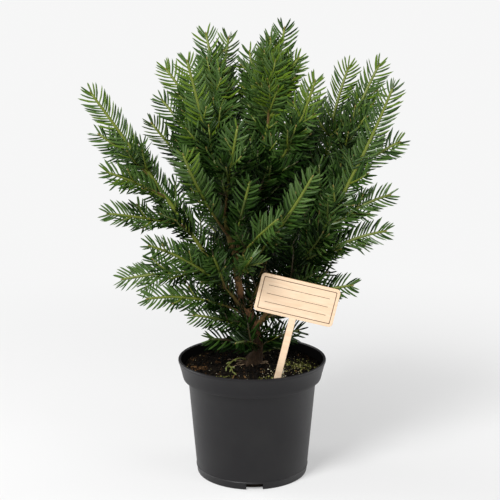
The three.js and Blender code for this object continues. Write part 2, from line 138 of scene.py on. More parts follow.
def pick(piece, parts, wanted):
    """Selects only those vertices, edges or faces of the piece being edited that pass a test."""
    bpy.ops.mesh.select_mode(type={"verts": "VERT", "edges": "EDGE", "faces": "FACE"}[parts])
    bpy.ops.mesh.select_all(action="DESELECT")
    mesh = bmesh.from_edit_mesh(piece.data)
    for part in getattr(mesh, parts):
        part.select_set(bool(wanted(part)))
    if parts == "verts":
        mesh.select_flush(True)
    bmesh.update_edit_mesh(piece.data)


def close_piece(smooth_angle=40):
    """Leaves edit mode with outward faces, the origin in place and soft shading."""
    bpy.ops.mesh.select_all(action="SELECT")
    bpy.ops.mesh.normals_make_consistent(inside=False)
    bpy.ops.object.mode_set(mode="OBJECT")
    bpy.ops.object.transform_apply(location=True, rotation=True, scale=True)
    bpy.ops.object.shade_smooth_by_angle(angle=math.radians(smooth_angle))


bpy.ops.object.select_all(action="DESELECT")
bpy.ops.mesh.primitive_circle_add(
    vertices=POT_SIDES, radius=POT_OUTSIDE[0][0], location=(0, 0, 0), fill_type="NOTHING"
)
pot = start_piece("pot_shell")
raise_rings(*POT_OUTSIDE[0], POT_OUTSIDE[1:] + POT_INSIDE)
bpy.ops.mesh.edge_face_add()
pick(pot, "verts", lambda vertex: abs(vertex.co.z) < 1e-7)
bpy.ops.mesh.edge_face_add()
close_piece()

for i in range(DRAINS):
    bpy.ops.mesh.primitive_cube_add(size=1, location=(0, 0, 0))
    punch = start_piece(f"drain_punch_{i}")
    bpy.ops.transform.resize(value=(DRAIN_WIDTH, 2 * DRAIN_DEPTH, 2 * DRAIN_HEIGHT))
    bpy.ops.transform.translate(value=(0, -POT_BASE_RADIUS, 0))
    close_piece()
    punch.data.transform(Matrix.Rotation(i * 2 * math.pi / DRAINS + DRAIN_TURN, 4, "Z"))
    cut = pot.modifiers.new("drain", "BOOLEAN")
    cut.object = punch
    cut.solver = "EXACT"
    bpy.context.view_layer.objects.active = pot
    bpy.ops.object.modifier_apply(modifier="drain")
    bpy.data.objects.remove(punch)


class Shade:
    """A socket in a material's node tree. Arithmetic on it adds Math nodes."""

    def __init__(self, tree, socket=None):
        self.tree = tree
        self.socket = socket

    def node(self, kind, settings=None, inputs=None, output=0):
        made = self.tree.nodes.new(kind)
        for name, value in (settings or {}).items():
            setattr(made, name, value)
        for name, value in (inputs or {}).items():
            if isinstance(value, Shade):
                self.tree.links.new(value.socket, made.inputs[name])
            else:
                made.inputs[name].default_value = value
        return Shade(self.tree, made.outputs[output])

    def math(self, operation, *values):
        return self.node("ShaderNodeMath", {"operation": operation}, dict(enumerate(values)))

    def __add__(self, other):
        return self.math("ADD", self, other)

    def __sub__(self, other):
        return self.math("SUBTRACT", self, other)

    def __rsub__(self, other):
        return self.math("SUBTRACT", other, self)

    def __mul__(self, other):
        return self.math("MULTIPLY", self, other)

    __radd__ = __add__
    __rmul__ = __mul__

    def spread(self, low, high):
        """The value stretched so that low becomes 0 and high becomes 1."""
        return self.node("ShaderNodeMapRange", None, {"Value": self, "From Min": low, "From Max": high})

    def mix(self, low, high):
        """A colour between two others, with this value as the share of the second."""
        low, high = (end if isinstance(end, Shade) else (*end, 1) for end in (low, high))
        return self.node("ShaderNodeMix", {"data_type": "RGBA"}, {0: self, 6: low, 7: high}, output=2)


def new_material(name, colour, roughness, **constants):
    """A Principled material, and a Shade to build its patterns from."""
    material = bpy.data.materials.new(name)
    material.use_nodes = True
    surface = material.node_tree.nodes["Principled BSDF"]
    surface.inputs["Base Color"].default_value = (*colour, 1)
    surface.inputs["Roughness"].default_value = roughness
    for socket, value in constants.items():
        surface.inputs[socket.replace("_", " ")].default_value = value
    return material, Shade(material.node_tree)


def connect(material, **links):
    """Links worked-out values to the surface's own sockets."""
    surface = material.node_tree.nodes["Principled BSDF"]
    for socket, value in links.items():
        material.node_tree.links.new(value.socket, surface.inputs[socket.replace("_", " ")])


def pattern(shade, scale, detail=4.0, place=None, kind="ShaderNodeTexNoise", output=0, **inputs):
    """A noise or other texture on the piece's own coordinates, in metres, or at another place."""
    values = {"Vector": place or shade.node("ShaderNodeTexCoord", output=3), "Scale": scale, **inputs}
    if kind == "ShaderNodeTexNoise":
        values["Detail"] = detail
    return shade.node(kind, None, values, output)


def relief(shade, height, strength, distance):
    return shade.node(
        "ShaderNodeBump", None, {"Height": height, "Strength": strength, "Distance": distance}
    )


POT_GREY = (0.0062, 0.0056, 0.0068)
POT_DUST = (0.017, 0.0165, 0.016)
pot_plastic, shade = new_material("pot_plastic", POT_GREY, 0.42, IOR=1.49, Specular_IOR_Level=0.34)
clouds = pattern(shade, 22, 5.0)
grain = pattern(shade, 1500, 2.0)
scuffs = pattern(shade, 130, 6.0, Distortion=1.2)
dust = clouds.spread(0.45, 0.75)
connect(
    pot_plastic,
    Base_Color=(dust * 0.45).mix(POT_GREY, POT_DUST),
    Roughness=0.36 + 0.12 * clouds + 0.08 * scuffs,
    Normal=relief(shade, grain + 0.6 * scuffs, 0.25, 0.00025),
)
pot.data.materials.append(pot_plastic)
# The inner wall below the rim is near-black and barely glossy: painted shade from the soil and crown.
pot_inside_painted_shade, shade = new_material("pot_inside_painted_shade", (0.0012, 0.0010, 0.0009), 0.8, Specular_IOR_Level=0.03)
splashes = pattern(shade, 240, 6.0)
connect(pot_inside_painted_shade, Normal=relief(shade, splashes, 0.3, 0.0003))
pot.data.materials.append(pot_inside_painted_shade)
# Inner faces below the rim take the painted shade.
for face in pot.data.polygons:
    inwards = face.normal.x * face.center.x + face.normal.y * face.center.y < 0
    face.material_index = int(inwards and face.center.z < POT_HEIGHT - 2 * MM)
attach(pot, "root")
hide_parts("pot")

# ---- Soil -------------------------------------------------------------------------------
# Moist peat compost that fills the pot to a finger's width under the rim. Its bed is one
# closed piece; crumbs, bark chips, pale mineral grains and moss lie on it.

SOIL_HEIGHT = 141 * MM
SOIL_EDGE_RADIUS = POT_SKIRT_RADIUS - POT_WALL + 2.1 * MM
SOIL_GAP = 0.4 * MM
SOIL_MARGIN = 0.985
BED_RINGS = 46
STEM_CALM = 14 * MM
STEM_CLEAR = 11 * MM
STICK_CLEAR = 6 * MM
# Its lumps, from large to small: height in millimetres and how many to a metre.
SOIL_LUMPS = ((1.5, 45), (0.8, 130), (0.35, 420))
STEM_FOOT = Vector((1, 8, 141)) * MM
LABEL_STICK_FOOT = Vector((31, -66, 141)) * MM


def soil_level(x, y):
    """Height of the soil's lumpy top, level at the stem and lower along the wall."""
    away = math.hypot(x, y) / SOIL_EDGE_RADIUS
    place = Vector((x, y, 0))
    lumps = sum(height * noise.noise(place * number) for height, number in SOIL_LUMPS)
    calm = min(1.0, math.hypot(x - STEM_FOOT.x, y - STEM_FOOT.y) / STEM_CALM)
    return SOIL_HEIGHT + (lumps * calm - 2.0 * away ** 3 - 0.5) * MM


bpy.ops.object.select_all(action="DESELECT")
bpy.ops.mesh.primitive_circle_add(
    vertices=POT_SIDES, radius=SOIL_EDGE_RADIUS, location=(0, 0, SOIL_HEIGHT), fill_type="NOTHING"
)
bed = start_piece("soil_bed")
rings = [(SOIL_EDGE_RADIUS * (1 - i / BED_RINGS), SOIL_HEIGHT) for i in range(1, BED_RINGS)]
raise_rings(SOIL_EDGE_RADIUS, SOIL_HEIGHT, rings)
bpy.ops.mesh.edge_face_add()
pick(bed, "verts", lambda vertex: vertex.co.xy.length > SOIL_EDGE_RADIUS - 1e-5)
raise_rings(SOIL_EDGE_RADIUS, SOIL_HEIGHT, [
    (POT_SKIRT_RADIUS - POT_WALL - SOIL_GAP, POT_SKIRT_FOOT + 2 * POT_WALL + SOIL_GAP),
    (POT_WALL_RADIUS - POT_WALL - SOIL_GAP, POT_SKIRT_FOOT + POT_WALL + SOIL_GAP),
    (wall_radius(0) - POT_WALL - 2 * SOIL_GAP, POT_WALL + SOIL_GAP),
])
bpy.ops.mesh.edge_face_add()
close_piece(60)
for vertex in bed.data.vertices:
    if vertex.co.z > SOIL_HEIGHT - 1e-6:
        vertex.co.z = soil_level(vertex.co.x, vertex.co.y)
bed.data.update()

SOIL_DARK = (0.0035, 0.0025, 0.0016)
SOIL_BROWN = (0.016, 0.0105, 0.006)
soil_earth, shade = new_material("soil_earth", SOIL_DARK, 0.95, Specular_IOR_Level=0.08)
lumps = pattern(shade, 260, 8.0)
specks = pattern(shade, 900, kind="ShaderNodeTexVoronoi")
share = lumps.spread(0.42, 0.68)
connect(
    soil_earth,
    Base_Color=share.mix(SOIL_DARK, SOIL_BROWN),
    Normal=relief(shade, lumps + 0.5 * specks, 0.9, 0.0012),
)
bed.data.materials.append(soil_earth)
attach(bed, "root")
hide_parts("soil")


def plain(name, colour, roughness=0.8, **constants):
    return new_material(name, colour, roughness, **constants)[0]


def joined_mesh(name, points, faces, materials, kinds):
    """One piece from arrays of points and faces, with a material number for each face."""
    mesh = bpy.data.meshes.new(name)
    mesh.from_pydata(points.tolist(), [], faces)
    mesh.polygons.foreach_set("material_index", np.asarray(kinds, dtype=np.int32))
    for material in materials:
        mesh.materials.append(material)
    mesh.update()
    piece = bpy.data.objects.new(name, mesh)
    bpy.context.scene.collection.objects.link(piece)
    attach(piece, "root")
    return piece


GRAIN_ROUGHNESS = 0.28
GRAIN_SEAT = 0.35
GRAIN_CORNERS = np.array([(1, 0, 0), (-1, 0, 0), (0, 1, 0), (0, -1, 0), (0, 0, 1), (0, 0, -1)], float)
GRAIN_FACES = np.array([
    (0, 2, 4), (2, 1, 4), (1, 3, 4), (3, 0, 4), (2, 0, 5), (1, 2, 5), (3, 1, 5), (0, 3, 5)
])


def unit(vector):
    return vector / np.linalg.norm(vector, axis=-1, keepdims=True)


def random_turns(rng, count):
    """Random rotation matrices, from normalised random quaternions."""
    w, x, y, z = unit(rng.normal(size=(count, 4))).T
    rows = [
        [1 - 2 * (y * y + z * z), 2 * (x * y - w * z), 2 * (x * z + w * y)],
        [2 * (x * y + w * z), 1 - 2 * (x * x + z * z), 2 * (y * z - w * x)],
        [2 * (x * z - w * y), 2 * (y * z + w * x), 1 - 2 * (x * x + y * y)],
    ]
    return np.array(rows).transpose(2, 0, 1)


def on_soil(rng, count, patch):
    """Random places on the soil or on one round patch of it, clear of the stem and the stick."""
    middle_x, middle_y, reach = (0, 0, SOIL_EDGE_RADIUS) if patch is None else np.array(patch) * MM
    away = reach * np.sqrt(rng.uniform(0, 1, count))
    away = away * (SOIL_MARGIN if patch is None else rng.uniform(0.2, 1, count))
    turn = rng.uniform(0, 2 * math.pi, count)
    x, y = middle_x + away * np.cos(turn), middle_y + away * np.sin(turn)
    clear = np.hypot(x, y) < SOIL_MARGIN * SOIL_EDGE_RADIUS
    clear &= np.hypot(x - STEM_FOOT.x, y - STEM_FOOT.y) > STEM_CLEAR
    clear &= np.hypot(x - LABEL_STICK_FOOT.x, y - LABEL_STICK_FOOT.y) > STICK_CLEAR
    return x[clear], y[clear]


def scatter(rng, count, size, shape, patch=None):
    """Points and faces of many rough eight-sided grains that lie on the soil."""
    x, y = on_soil(rng, count, patch)
    z = np.array([soil_level(a, b) for a, b in zip(x, y)])
    number = len(x)
    half = rng.uniform(*size, (number, 1)) * MM * np.array(shape) * rng.uniform(0.7, 1.3, (number, 3))
    corners = GRAIN_CORNERS + rng.uniform(-GRAIN_ROUGHNESS, GRAIN_ROUGHNESS, (number, 6, 3))
    corners = np.einsum("nij,nkj->nki", random_turns(rng, number), corners * half[:, None, :])
    seat = z + GRAIN_SEAT * half.min(axis=1)
    points = corners + np.stack([x, y, seat], axis=1)[:, None, :]
    faces = GRAIN_FACES[None] + 6 * np.arange(number)[:, None, None]
    return points.reshape(-1, 3), faces.reshape(-1, 3)


rng = np.random.default_rng(3)
SOIL_BLACKS = [(0.0016, 0.0012, 0.0008), (0.0035, 0.0024, 0.0014), (0.008, 0.0055, 0.003)]
SOIL_BROWNS = [(0.012, 0.007, 0.0035), (0.045, 0.022, 0.008), (0.13, 0.07, 0.028)]
SOIL_MINERALS = [(0.42, 0.38, 0.24), (0.62, 0.58, 0.46), (0.26, 0.22, 0.09)]
SOIL_MOSS = [(0.026, 0.030, 0.006), (0.085, 0.095, 0.016), (0.20, 0.20, 0.055)]
SOIL_HUSKS = [(0.40, 0.37, 0.22), (0.27, 0.26, 0.11), (0.14, 0.11, 0.05)]
SOIL_LITTER = [
    # name, how many, half size, proportions, base colours, and the middle and reach of its patch
    ("soil_clods", 760, (1.3, 3.4), (1, 1, 0.75), SOIL_BLACKS, None),
    ("soil_crumbs", 4200, (0.5, 1.5), (1, 1, 0.8), SOIL_BLACKS, None),
    ("soil_bark_left", 150, (0.8, 1.7), (2.0, 0.9, 0.5), SOIL_BROWNS, (-70, -14, 17)),
    ("soil_bark", 420, (0.7, 1.6), (2.4, 0.9, 0.4), SOIL_BROWNS, None),
    ("soil_grains", 150, (0.4, 1.0), (1, 0.9, 0.8), SOIL_MINERALS, None),
    ("soil_grains_right", 170, (0.5, 1.4), (1, 0.9, 0.8), SOIL_MINERALS, (38, -36, 44)),
    ("soil_moss_right", 560, (0.6, 1.9), (1, 0.8, 0.8), SOIL_MOSS, (62, -4, 34)),
    ("soil_husks_right", 260, (0.7, 1.7), (1.7, 0.7, 0.4), SOIL_HUSKS, (54, -8, 42)),
    ("soil_moss_front", 240, (0.5, 1.6), (1, 0.8, 0.8), SOIL_MOSS, (22, -62, 24)),
    ("soil_moss_left", 200, (0.5, 1.6), (1, 0.8, 0.8), SOIL_MOSS, (-34, -58, 20)),
]
for name, count, size, shape, colours, patch in SOIL_LITTER:
    points, faces = scatter(rng, count, size, shape, patch)
    kinds = np.repeat(rng.integers(0, len(colours), len(faces) // 8), 8)
    finishes = [
        plain(f"{name}_{i}", colour, 0.9, Specular_IOR_Level=0.1) for i, colour in enumerate(colours)
    ]
    joined_mesh(name, points, faces.tolist(), finishes, kinds)

# ---- Plant label ------------------------------------------------------------------------
# A blank marker, laser cut from 3 mm plywood as one board and stick and pushed into the
# soil at a slant. A border and three ruled writing lines are burned into its face.

LABEL_WIDTH = 98 * MM
LABEL_HEIGHT = 48 * MM
LABEL_THICKNESS = 3 * MM
LABEL_CORNER = 5 * MM
LABEL_STICK = 8.3 * MM
LABEL_STICK_LENGTH = 111.5 * MM
LABEL_CENTRE = Vector((54.5, -66, 244)) * MM
LABEL_TILT = math.radians(13.4)
LABEL_PLACE = Matrix.Translation(LABEL_CENTRE) @ Matrix.Rotation(LABEL_TILT, 4, "Y")

bpy.ops.object.select_all(action="DESELECT")
bpy.ops.mesh.primitive_cube_add(size=1, location=(0, 0, 0))
label = start_piece("label_board")
bpy.ops.transform.resize(value=(LABEL_WIDTH, LABEL_THICKNESS, LABEL_HEIGHT))
bpy.ops.object.mode_set(mode="OBJECT")
bpy.ops.object.transform_apply(scale=True)
bpy.ops.object.mode_set(mode="EDIT")
pick(label, "edges", lambda edge: abs(edge.verts[0].co.y - edge.verts[1].co.y) > LABEL_THICKNESS / 2)
bpy.ops.mesh.bevel(offset=LABEL_CORNER, segments=7, affect="EDGES")
for side in (-1, 1):
    bpy.ops.mesh.select_all(action="SELECT")
    bpy.ops.mesh.bisect(plane_co=(side * LABEL_STICK / 2, 0, 0), plane_no=(1, 0, 0))
pick(
    label,
    "faces",
    lambda face: face.normal.z < -0.9 and abs(face.calc_center_median().x) < LABEL_STICK / 2,
)
bpy.ops.mesh.extrude_region_move(TRANSFORM_OT_translate={"value": (0, 0, -LABEL_STICK_LENGTH)})
close_piece()
soften = label.modifiers.new("soften", "BEVEL")
soften.width = 0.35 * MM
soften.segments = 2
soften.limit_method = "ANGLE"
bpy.context.view_layer.objects.active = label
bpy.ops.object.modifier_apply(modifier="soften")
label.data.transform(LABEL_PLACE)

WOOD_PALE = (0.87, 0.68, 0.49)
WOOD_GRAIN = (0.74, 0.50, 0.31)
WOOD_BURNED = (0.085, 0.030, 0.009)
BORDER_INSET = 4.2 * MM
BORDER_HALF = 0.45 * MM
RULE_SPACING = 10.5 * MM
RULE_HALF = 0.3 * MM
RULE_INSET = 11 * MM
label_wood, shade = new_material("label_wood", WOOD_PALE, 0.62, Specular_IOR_Level=0.35)
place = shade.node("ShaderNodeTexCoord", output=3)
local = shade.node(
    "ShaderNodeMapping",
    {"vector_type": "TEXTURE"},
    {"Vector": place, "Location": tuple(LABEL_CENTRE), "Rotation": (0, LABEL_TILT, 0)},
)
across = shade.node("ShaderNodeSeparateXYZ", None, {"Vector": local}, 0)
along = shade.node("ShaderNodeSeparateXYZ", None, {"Vector": local}, 2)
stretched = shade.node("ShaderNodeMapping", None, {"Vector": local, "Scale": (0.16, 1, 1)})
fibres = pattern(shade, 900, 4.0, stretched, Distortion=0.4)
figure = pattern(shade, 130, 3.0, stretched, Distortion=1.5)
inner_x = shade.math("ABSOLUTE", across) - (LABEL_WIDTH / 2 - BORDER_INSET)
inner_z = shade.math("ABSOLUTE", along) - (LABEL_HEIGHT / 2 - BORDER_INSET)
from_edge = shade.math("SMOOTH_MAX", inner_x, inner_z, 2.0 * MM)
border = shade.math("LESS_THAN", shade.math("ABSOLUTE", from_edge), BORDER_HALF)
low, middle, high = (
    shade.math("LESS_THAN", shade.math("ABSOLUTE", along - i * RULE_SPACING), RULE_HALF) for i in (-1, 0, 1)
)
rules = low + middle + high
inside = shade.math("LESS_THAN", shade.math("ABSOLUTE", across), LABEL_WIDTH / 2 - RULE_INSET)
burned = shade.math("MINIMUM", border + rules * inside, 1.0) * (0.72 + 0.5 * fibres)
wood = (0.35 * fibres + 1.3 * figure - 0.45).mix(WOOD_PALE, WOOD_GRAIN)
connect(
    label_wood,
    Base_Color=burned.mix(wood, WOOD_BURNED),
    Roughness=0.5 + 0.3 * fibres,
    Normal=relief(shade, fibres - 0.8 * burned, 0.35, 0.0003),
)
label.data.materials.append(label_wood)
cut_edge, shade = new_material("label_cut_edge", (0.42, 0.24, 0.11), 0.7)
ply = pattern(shade, 8, 2.0, pattern(shade, 60, output=1))
connect(cut_edge, Base_Color=ply.mix((0.50, 0.31, 0.15), (0.25, 0.12, 0.05)))
label.data.materials.append(cut_edge)
for face in label.data.polygons:
    face.material_index = 1 if abs(face.normal.y) < 0.3 else 0
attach(label, "root")
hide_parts("plant_label")

# ---- Trunk and boughs -------------------------------------------------------------------
# One short stem leans, forks low into upswept leaders, and side limbs spring from them.
# Its bark is brown, ridged and flaking at the foot, and turns olive, then green, upwards. Near the soil it
# is darkened with painted shade.

TRUNK_FOOT = np.array((1.0, 8.0, 0.0))
TRUNK_RADIUS = 6.6
TRUNK_TIP_RADIUS = 0.96
TRUNK_TAPER = 1.6
TRUNK_BURIED = 2.0
FLARE_RADIUS = 7.0
FLARE_HEIGHT = 10.0
FLARE_LOBES = 3
FLARE_LOBE_DEPTH = 0.14
KINK_SIDE = 12.0
KINK_HEIGHT = 75.0
LIMB_RADIUS_LEAST = 0.9
LIMB_RADIUS_PER_LENGTH = 0.0068
LIMB_TAPER = 1.05
COLLAR_SWELL = 0.3
COLLAR_LENGTH = 7.0
# Bark relief: how many round the limb, how long in millimetres, and how deep.
BARK_RELIEF = ((2.6, 16, 0.16), (6.5, 5, 0.15))
GOLDEN_ANGLE = 137.508
UP = np.array((0.0, 0.0, 1.0))

# Each limb springs from its parent's curve at `foot` (0 to 1) and ends at an azimuth and
# reach about the pot's axis and a height above the soil, in millimetres. `bow` bends it
# outwards, `bare` is where its foliage starts, and `shoots` side shoots of about `length`
# wind round it from the angle `turn`.
LIMBS = [
    # name, parent, foot, azimuth, reach, height, bow, bare, shoots, length, turn
    ("trunk", None, 0, 194, 82, 392, -0.012, 0.62, 5, 62, 60),
    ("left_leader", "trunk", 0.11, 180, 201, 352, -0.008, 0.22, 9, 58, 130),
    ("right_leader", "trunk", 0.12, 350, 173, 361, 0.035, 0.24, 9, 56, 70),
    ("centre_leader", "trunk", 0.28, 0, 40, 431, 0.005, 0.22, 8, 60, 140),
    ("back_left_leader", "trunk", 0.14, 102, 138, 360, 0.050, 0.26, 7, 60, 0),
    ("back_right_leader", "trunk", 0.17, 58, 142, 350, 0.050, 0.26, 7, 60, 90),
    ("front_left", "trunk", 0.43, 226, 118, 286, 0.040, 0.22, 6, 44, 60),
    ("front_right", "trunk", 0.30, 306, 122, 262, 0.040, 0.24, 6, 50, 150),
    ("upper_left", "trunk", 0.60, 170, 112, 380, -0.070, 0.28, 4, 48, 140),
    ("mid_left", "trunk", 0.50, 165, 121, 341, -0.060, 0.28, 4, 48, 100),
    ("top_left", "trunk", 0.66, 146, 71, 424, -0.050, 0.10, 4, 48, 20),
    ("top_back", "trunk", 0.64, 116, 66, 419, 0.030, 0.10, 4, 48, 300),
    ("top_mid", "centre_leader", 0.55, 97, 34, 402, 0.000, 0.15, 3, 42, 60),
    ("upper_right", "centre_leader", 0.33, 339, 82, 369, 0.050, 0.15, 6, 54, 320),
    ("inner_left", "trunk", 0.50, 255, 64, 316, 0.040, 0.20, 6, 50, 40),
    ("inner_front", "trunk", 0.38, 268, 62, 250, 0.020, 0.20, 4, 36, 80),
    ("left_side", "left_leader", 0.60, 180, 194, 300, -0.040, 0.20, 4, 42, 20),
    ("inner_right", "right_leader", 0.32, 24, 100, 330, -0.020, 0.15, 6, 56, 120),
    ("top_front", "centre_leader", 0.62, 330, 25, 419, 0.010, 0.15, 4, 42, 200),
    ("top_right", "centre_leader", 0.68, 350, 60, 394, -0.040, 0.20, 3, 38, 100),
    ("front_mid", "trunk", 0.34, 287, 108, 210, -0.020, 0.24, 5, 44, 30),
    ("left_back", "back_left_leader", 0.42, 154, 148, 309, 0.020, 0.15, 4, 48, 110),
    ("right_back", "right_leader", 0.42, 14, 126, 383, -0.050, 0.15, 5, 52, 90),
    ("right_top", "right_leader", 0.50, 7, 161, 386, -0.050, 0.20, 4, 48, 230),
    ("right_mid", "right_leader", 0.36, 353, 176, 226, -0.090, 0.15, 4, 46, 20),
    ("right_side", "right_leader", 0.64, 355, 186, 291, -0.070, 0.20, 2, 36, 90),
    ("right_low", "right_leader", 0.20, 353, 172, 180, -0.095, 0.22, 5, 42, 60),
    ("right_foot", "trunk", 0.12, 345, 134, 114, -0.080, 0.30, 5, 44, 40),
    ("left_high", "left_leader", 0.56, 190, 184, 255, -0.030, 0.20, 4, 42, 200),
    ("left_mid", "left_leader", 0.44, 184, 185, 200, -0.020, 0.20, 4, 44, 170),
    ("left_low", "left_leader", 0.25, 180, 170, 112, -0.030, 0.22, 5, 44, 190),
    ("left_under", "trunk", 0.16, 200, 143, 99, -0.080, 0.28, 4, 40, 170),
    ("left_foot", "trunk", 0.10, 205, 86, 76, -0.050, 0.20, 3, 32, 0),
    ("back_low_left", "back_left_leader", 0.18, 112, 160, 200, 0.000, 0.20, 6, 54, 20),
    ("back_low_right", "back_right_leader", 0.18, 45, 164, 189, 0.000, 0.20, 6, 54, 50),
    ("back_mid", "back_right_leader", 0.36, 92, 168, 262, 0.050, 0.15, 6, 54, 20),
    ("back_foot", "trunk", 0.10, 85, 146, 120, -0.060, 0.26, 5, 44, 60),
    ("front_low", "trunk", 0.28, 270, 114, 166, -0.020, 0.30, 4, 40, 0),
    ("front_mid_left", "trunk", 0.15, 207, 144, 171, -0.080, 0.30, 3, 36, 200),
    ("front_low_left", "front_mid_left", 0.31, 235, 84, 160, -0.020, 0.20, 3, 36, 40),
    ("base_left", "trunk", 0.05, 200, 62, 40, -0.060, 0.00, 3, 34, 0),
    ("base_front", "trunk", 0.06, 250, 66, 46, -0.050, 0.00, 3, 34, 40),
    ("base_right", "trunk", 0.05, 5, 66, 46, -0.060, 0.00, 3, 34, 20),
    ("base_back", "trunk", 0.06, 120, 70, 50, -0.050, 0.00, 3, 34, 10),
    ("back_high", "trunk", 0.34, 75, 96, 372, 0.030, 0.30, 7, 54, 40),
    ("back_left_high", "back_left_leader", 0.34, 130, 110, 350, 0.000, 0.15, 5, 50, 70),
    ("back_right_high", "back_right_leader", 0.34, 38, 112, 338, 0.000, 0.15, 5, 50, 10),
]


def draw(seed, step):
    """A number from 0 to 1 that looks random and is the same every time."""
    wave = math.sin(seed * 12.9898 + step * 78.233) * 43758.5453
    return wave - math.floor(wave)


class Curve:
    """A bowed line from start to end, drawn to its control point; a kink swings its foot."""

    def __init__(self, start, control, end, kink=0.0):
        self.start, self.control, self.end, self.kink = start, control, end, kink
        self.size = float(np.linalg.norm(end - start))

    def at(self, t):
        t = np.asarray(t, dtype=float)[..., None]
        place = (1 - t) ** 2 * self.start + 2 * t * (1 - t) * self.control + t * t * self.end
        rise = np.clip(place[..., 2] / KINK_HEIGHT, 0, 1)
        place[..., 0] += self.kink * np.sin(math.pi * rise)
        return place

    def along(self, t):
        return unit(self.at(np.asarray(t) + 0.001) - self.at(np.asarray(t) - 0.001))


class Limb:
    """A limb's curve and sizes, and the mass of foliage that it belongs to."""

    def __init__(self, index, name, on, foot, azimuth, reach, height, bow, bare, shoots, length, turn):
        angle = math.radians(azimuth)
        self.index, self.name, self.parent = index, name, limbs.get(on)
        self.bare, self.shoots, self.length, self.turn = bare, shoots, length, turn
        start = self.parent.curve.at(foot) if self.parent else TRUNK_FOOT
        end = np.array((reach * math.cos(angle), reach * math.sin(angle), height))
        self.across = np.array((math.sin(angle), -math.cos(angle), 0.0))
        size = np.linalg.norm(end - start)
        outward = unit(np.cross(unit(end - start), self.across))
        control = (start + end) / 2 + outward * 2 * bow * size
        self.curve = Curve(start, control, end, 0.0 if self.parent else KINK_SIDE)
        own_radius = LIMB_RADIUS_LEAST + LIMB_RADIUS_PER_LENGTH * size
        self.foot_radius = own_radius if self.parent else TRUNK_RADIUS
        fused = self.parent is not None and foot > self.parent.bare
        self.mass = self.parent.mass if fused else self

    def radius(self, t):
        tip = LIMB_RADIUS_LEAST if self.parent else TRUNK_TIP_RADIUS
        taper = LIMB_TAPER if self.parent else TRUNK_TAPER
        return tip + (self.foot_radius - tip) * max(0.0, 1 - t) ** taper

    def frame(self, t):
        along = self.curve.along(t)
        rise = unit(np.cross(self.across, along))
        return self.curve.at(t), along, np.cross(along, rise), rise

    def winding(self, k, start):
        """The turn about the limb of its shoot number k, in degrees."""
        return self.turn + start + GOLDEN_ANGLE * k

    def youth(self, t):
        """From 0, old brown wood, to 1, this year's green tip."""
        return min(1.0, 1.35 * t) if self.parent is None else min(1.0, 0.38 + 0.95 * t)


limbs = {}
for index, row in enumerate(LIMBS):
    limbs[row[0]] = Limb(index, *row)


def tube_faces(steps, sides):
    """The faces of a closed tube of rings, with a cap at each end."""
    faces = []
    for i in range(steps):
        for j in range(sides):
            a, b = i * sides + j, i * sides + (j + 1) % sides
            faces.append((a, b, b + sides, a + sides))
    faces.append(tuple(reversed(range(sides))))
    faces.append(tuple(range(steps * sides, (steps + 1) * sides)))
    return faces


def bark_tube(limb, start, end, sides, pitch):
    """A limb's wood with its bark's ridges and plates: points, faces and each point's youth."""
    steps = max(2, math.ceil(limb.curve.size * (end - start) / pitch))
    points, youth = [], []
    for i in range(steps + 1):
        t = start + (end - start) * i / steps
        at, along, side, rise = limb.frame(t)
        flare = 0.0 if limb.parent else FLARE_RADIUS * math.exp(-max(at[2], 0) / FLARE_HEIGHT)
        travel = t * limb.curve.size
        collar = 1 + (COLLAR_SWELL * math.exp(-travel / COLLAR_LENGTH) if limb.parent else 0)
        rough = max(0.2, 1.0 - 0.9 * limb.youth(t)) + 0.07 * flare
        for j in range(sides):
            angle = 2 * math.pi * j / sides
            lobe = 1 + FLARE_LOBE_DEPTH * flare / FLARE_RADIUS * math.cos(FLARE_LOBES * angle)
            x, y = math.cos(angle), math.sin(angle)
            bumps = sum(
                deep * noise.noise(Vector((number * x, number * y, travel / long + limb.index)))
                for number, long, deep in BARK_RELIEF
            )
            radius = (limb.radius(t) * collar + flare) * lobe * (1 + rough * bumps)
            points.append(at + side * radius * x + rise * radius * y)
            youth.append(limb.youth(t))
    return np.array(points), tube_faces(steps, sides), youth


def gathered(parts):
    """Joins lists of points, faces and a value for each point or face into one set."""
    points, faces, values, count = [], [], [], 0
    for part_points, part_faces, part_values in parts:
        points.append(part_points)
        faces.extend(tuple(corner + count for corner in face) for face in part_faces)
        values.extend(part_values)
        count += len(part_points)
    return np.concatenate(points), faces, values


def to_row(points):
    """From millimetres above the soil to metres above the ground."""
    return (points + np.array((0, 0, SOIL_HEIGHT / MM))) * MM


def wooden_piece(name, parts):
    """One piece of bark, which keeps each point's youth for its colours."""
    points, faces, youth = gathered(parts)
    piece = joined_mesh(name, to_row(points), faces, [bark], [0] * len(faces))
    piece.data.attributes.new("youth", "FLOAT", "POINT").data.foreach_set("value", youth)
    piece.data.shade_smooth()
    return piece


BARK_BROWN = (0.165, 0.080, 0.034)
BARK_GREY = (0.040, 0.024, 0.013)
BARK_FOOT_SHADE = (0.020, 0.012, 0.0055)
BARK_OLIVE = (0.110, 0.082, 0.020)
BARK_GREEN = (0.130, 0.185, 0.012)
bark, shade = new_material("yew_bark", BARK_BROWN, 0.85, Specular_IOR_Level=0.3)
patches = pattern(shade, 170, 5.0, Distortion=0.8)
cracks = pattern(shade, 420, kind="ShaderNodeTexVoronoi")
fine = pattern(shade, 900, 5.0)
youth = shade.node("ShaderNodeAttribute", {"attribute_name": "youth"}, output=2) + 0.16 * (patches - 0.5)
worn = patches.spread(0.38, 0.56)
olive = youth.spread(0.3, 0.6)
green = youth.spread(0.58, 0.86)
# Darker towards the soil: painted shade of the needles over the trunk's foot.
painted_foot_shade = youth.spread(0.23, 0.08)
dry = worn.mix(BARK_GREY, BARK_BROWN)
tone = olive.mix((painted_foot_shade * 0.9).mix(dry, BARK_FOOT_SHADE), BARK_OLIVE)
connect(
    bark,
    Base_Color=green.mix(tone, BARK_GREEN),
    Roughness=0.9 - 0.35 * green + 0.1 * fine,
    Normal=relief(shade, fine + 0.8 * cracks + patches, 0.8, 0.0006),
)

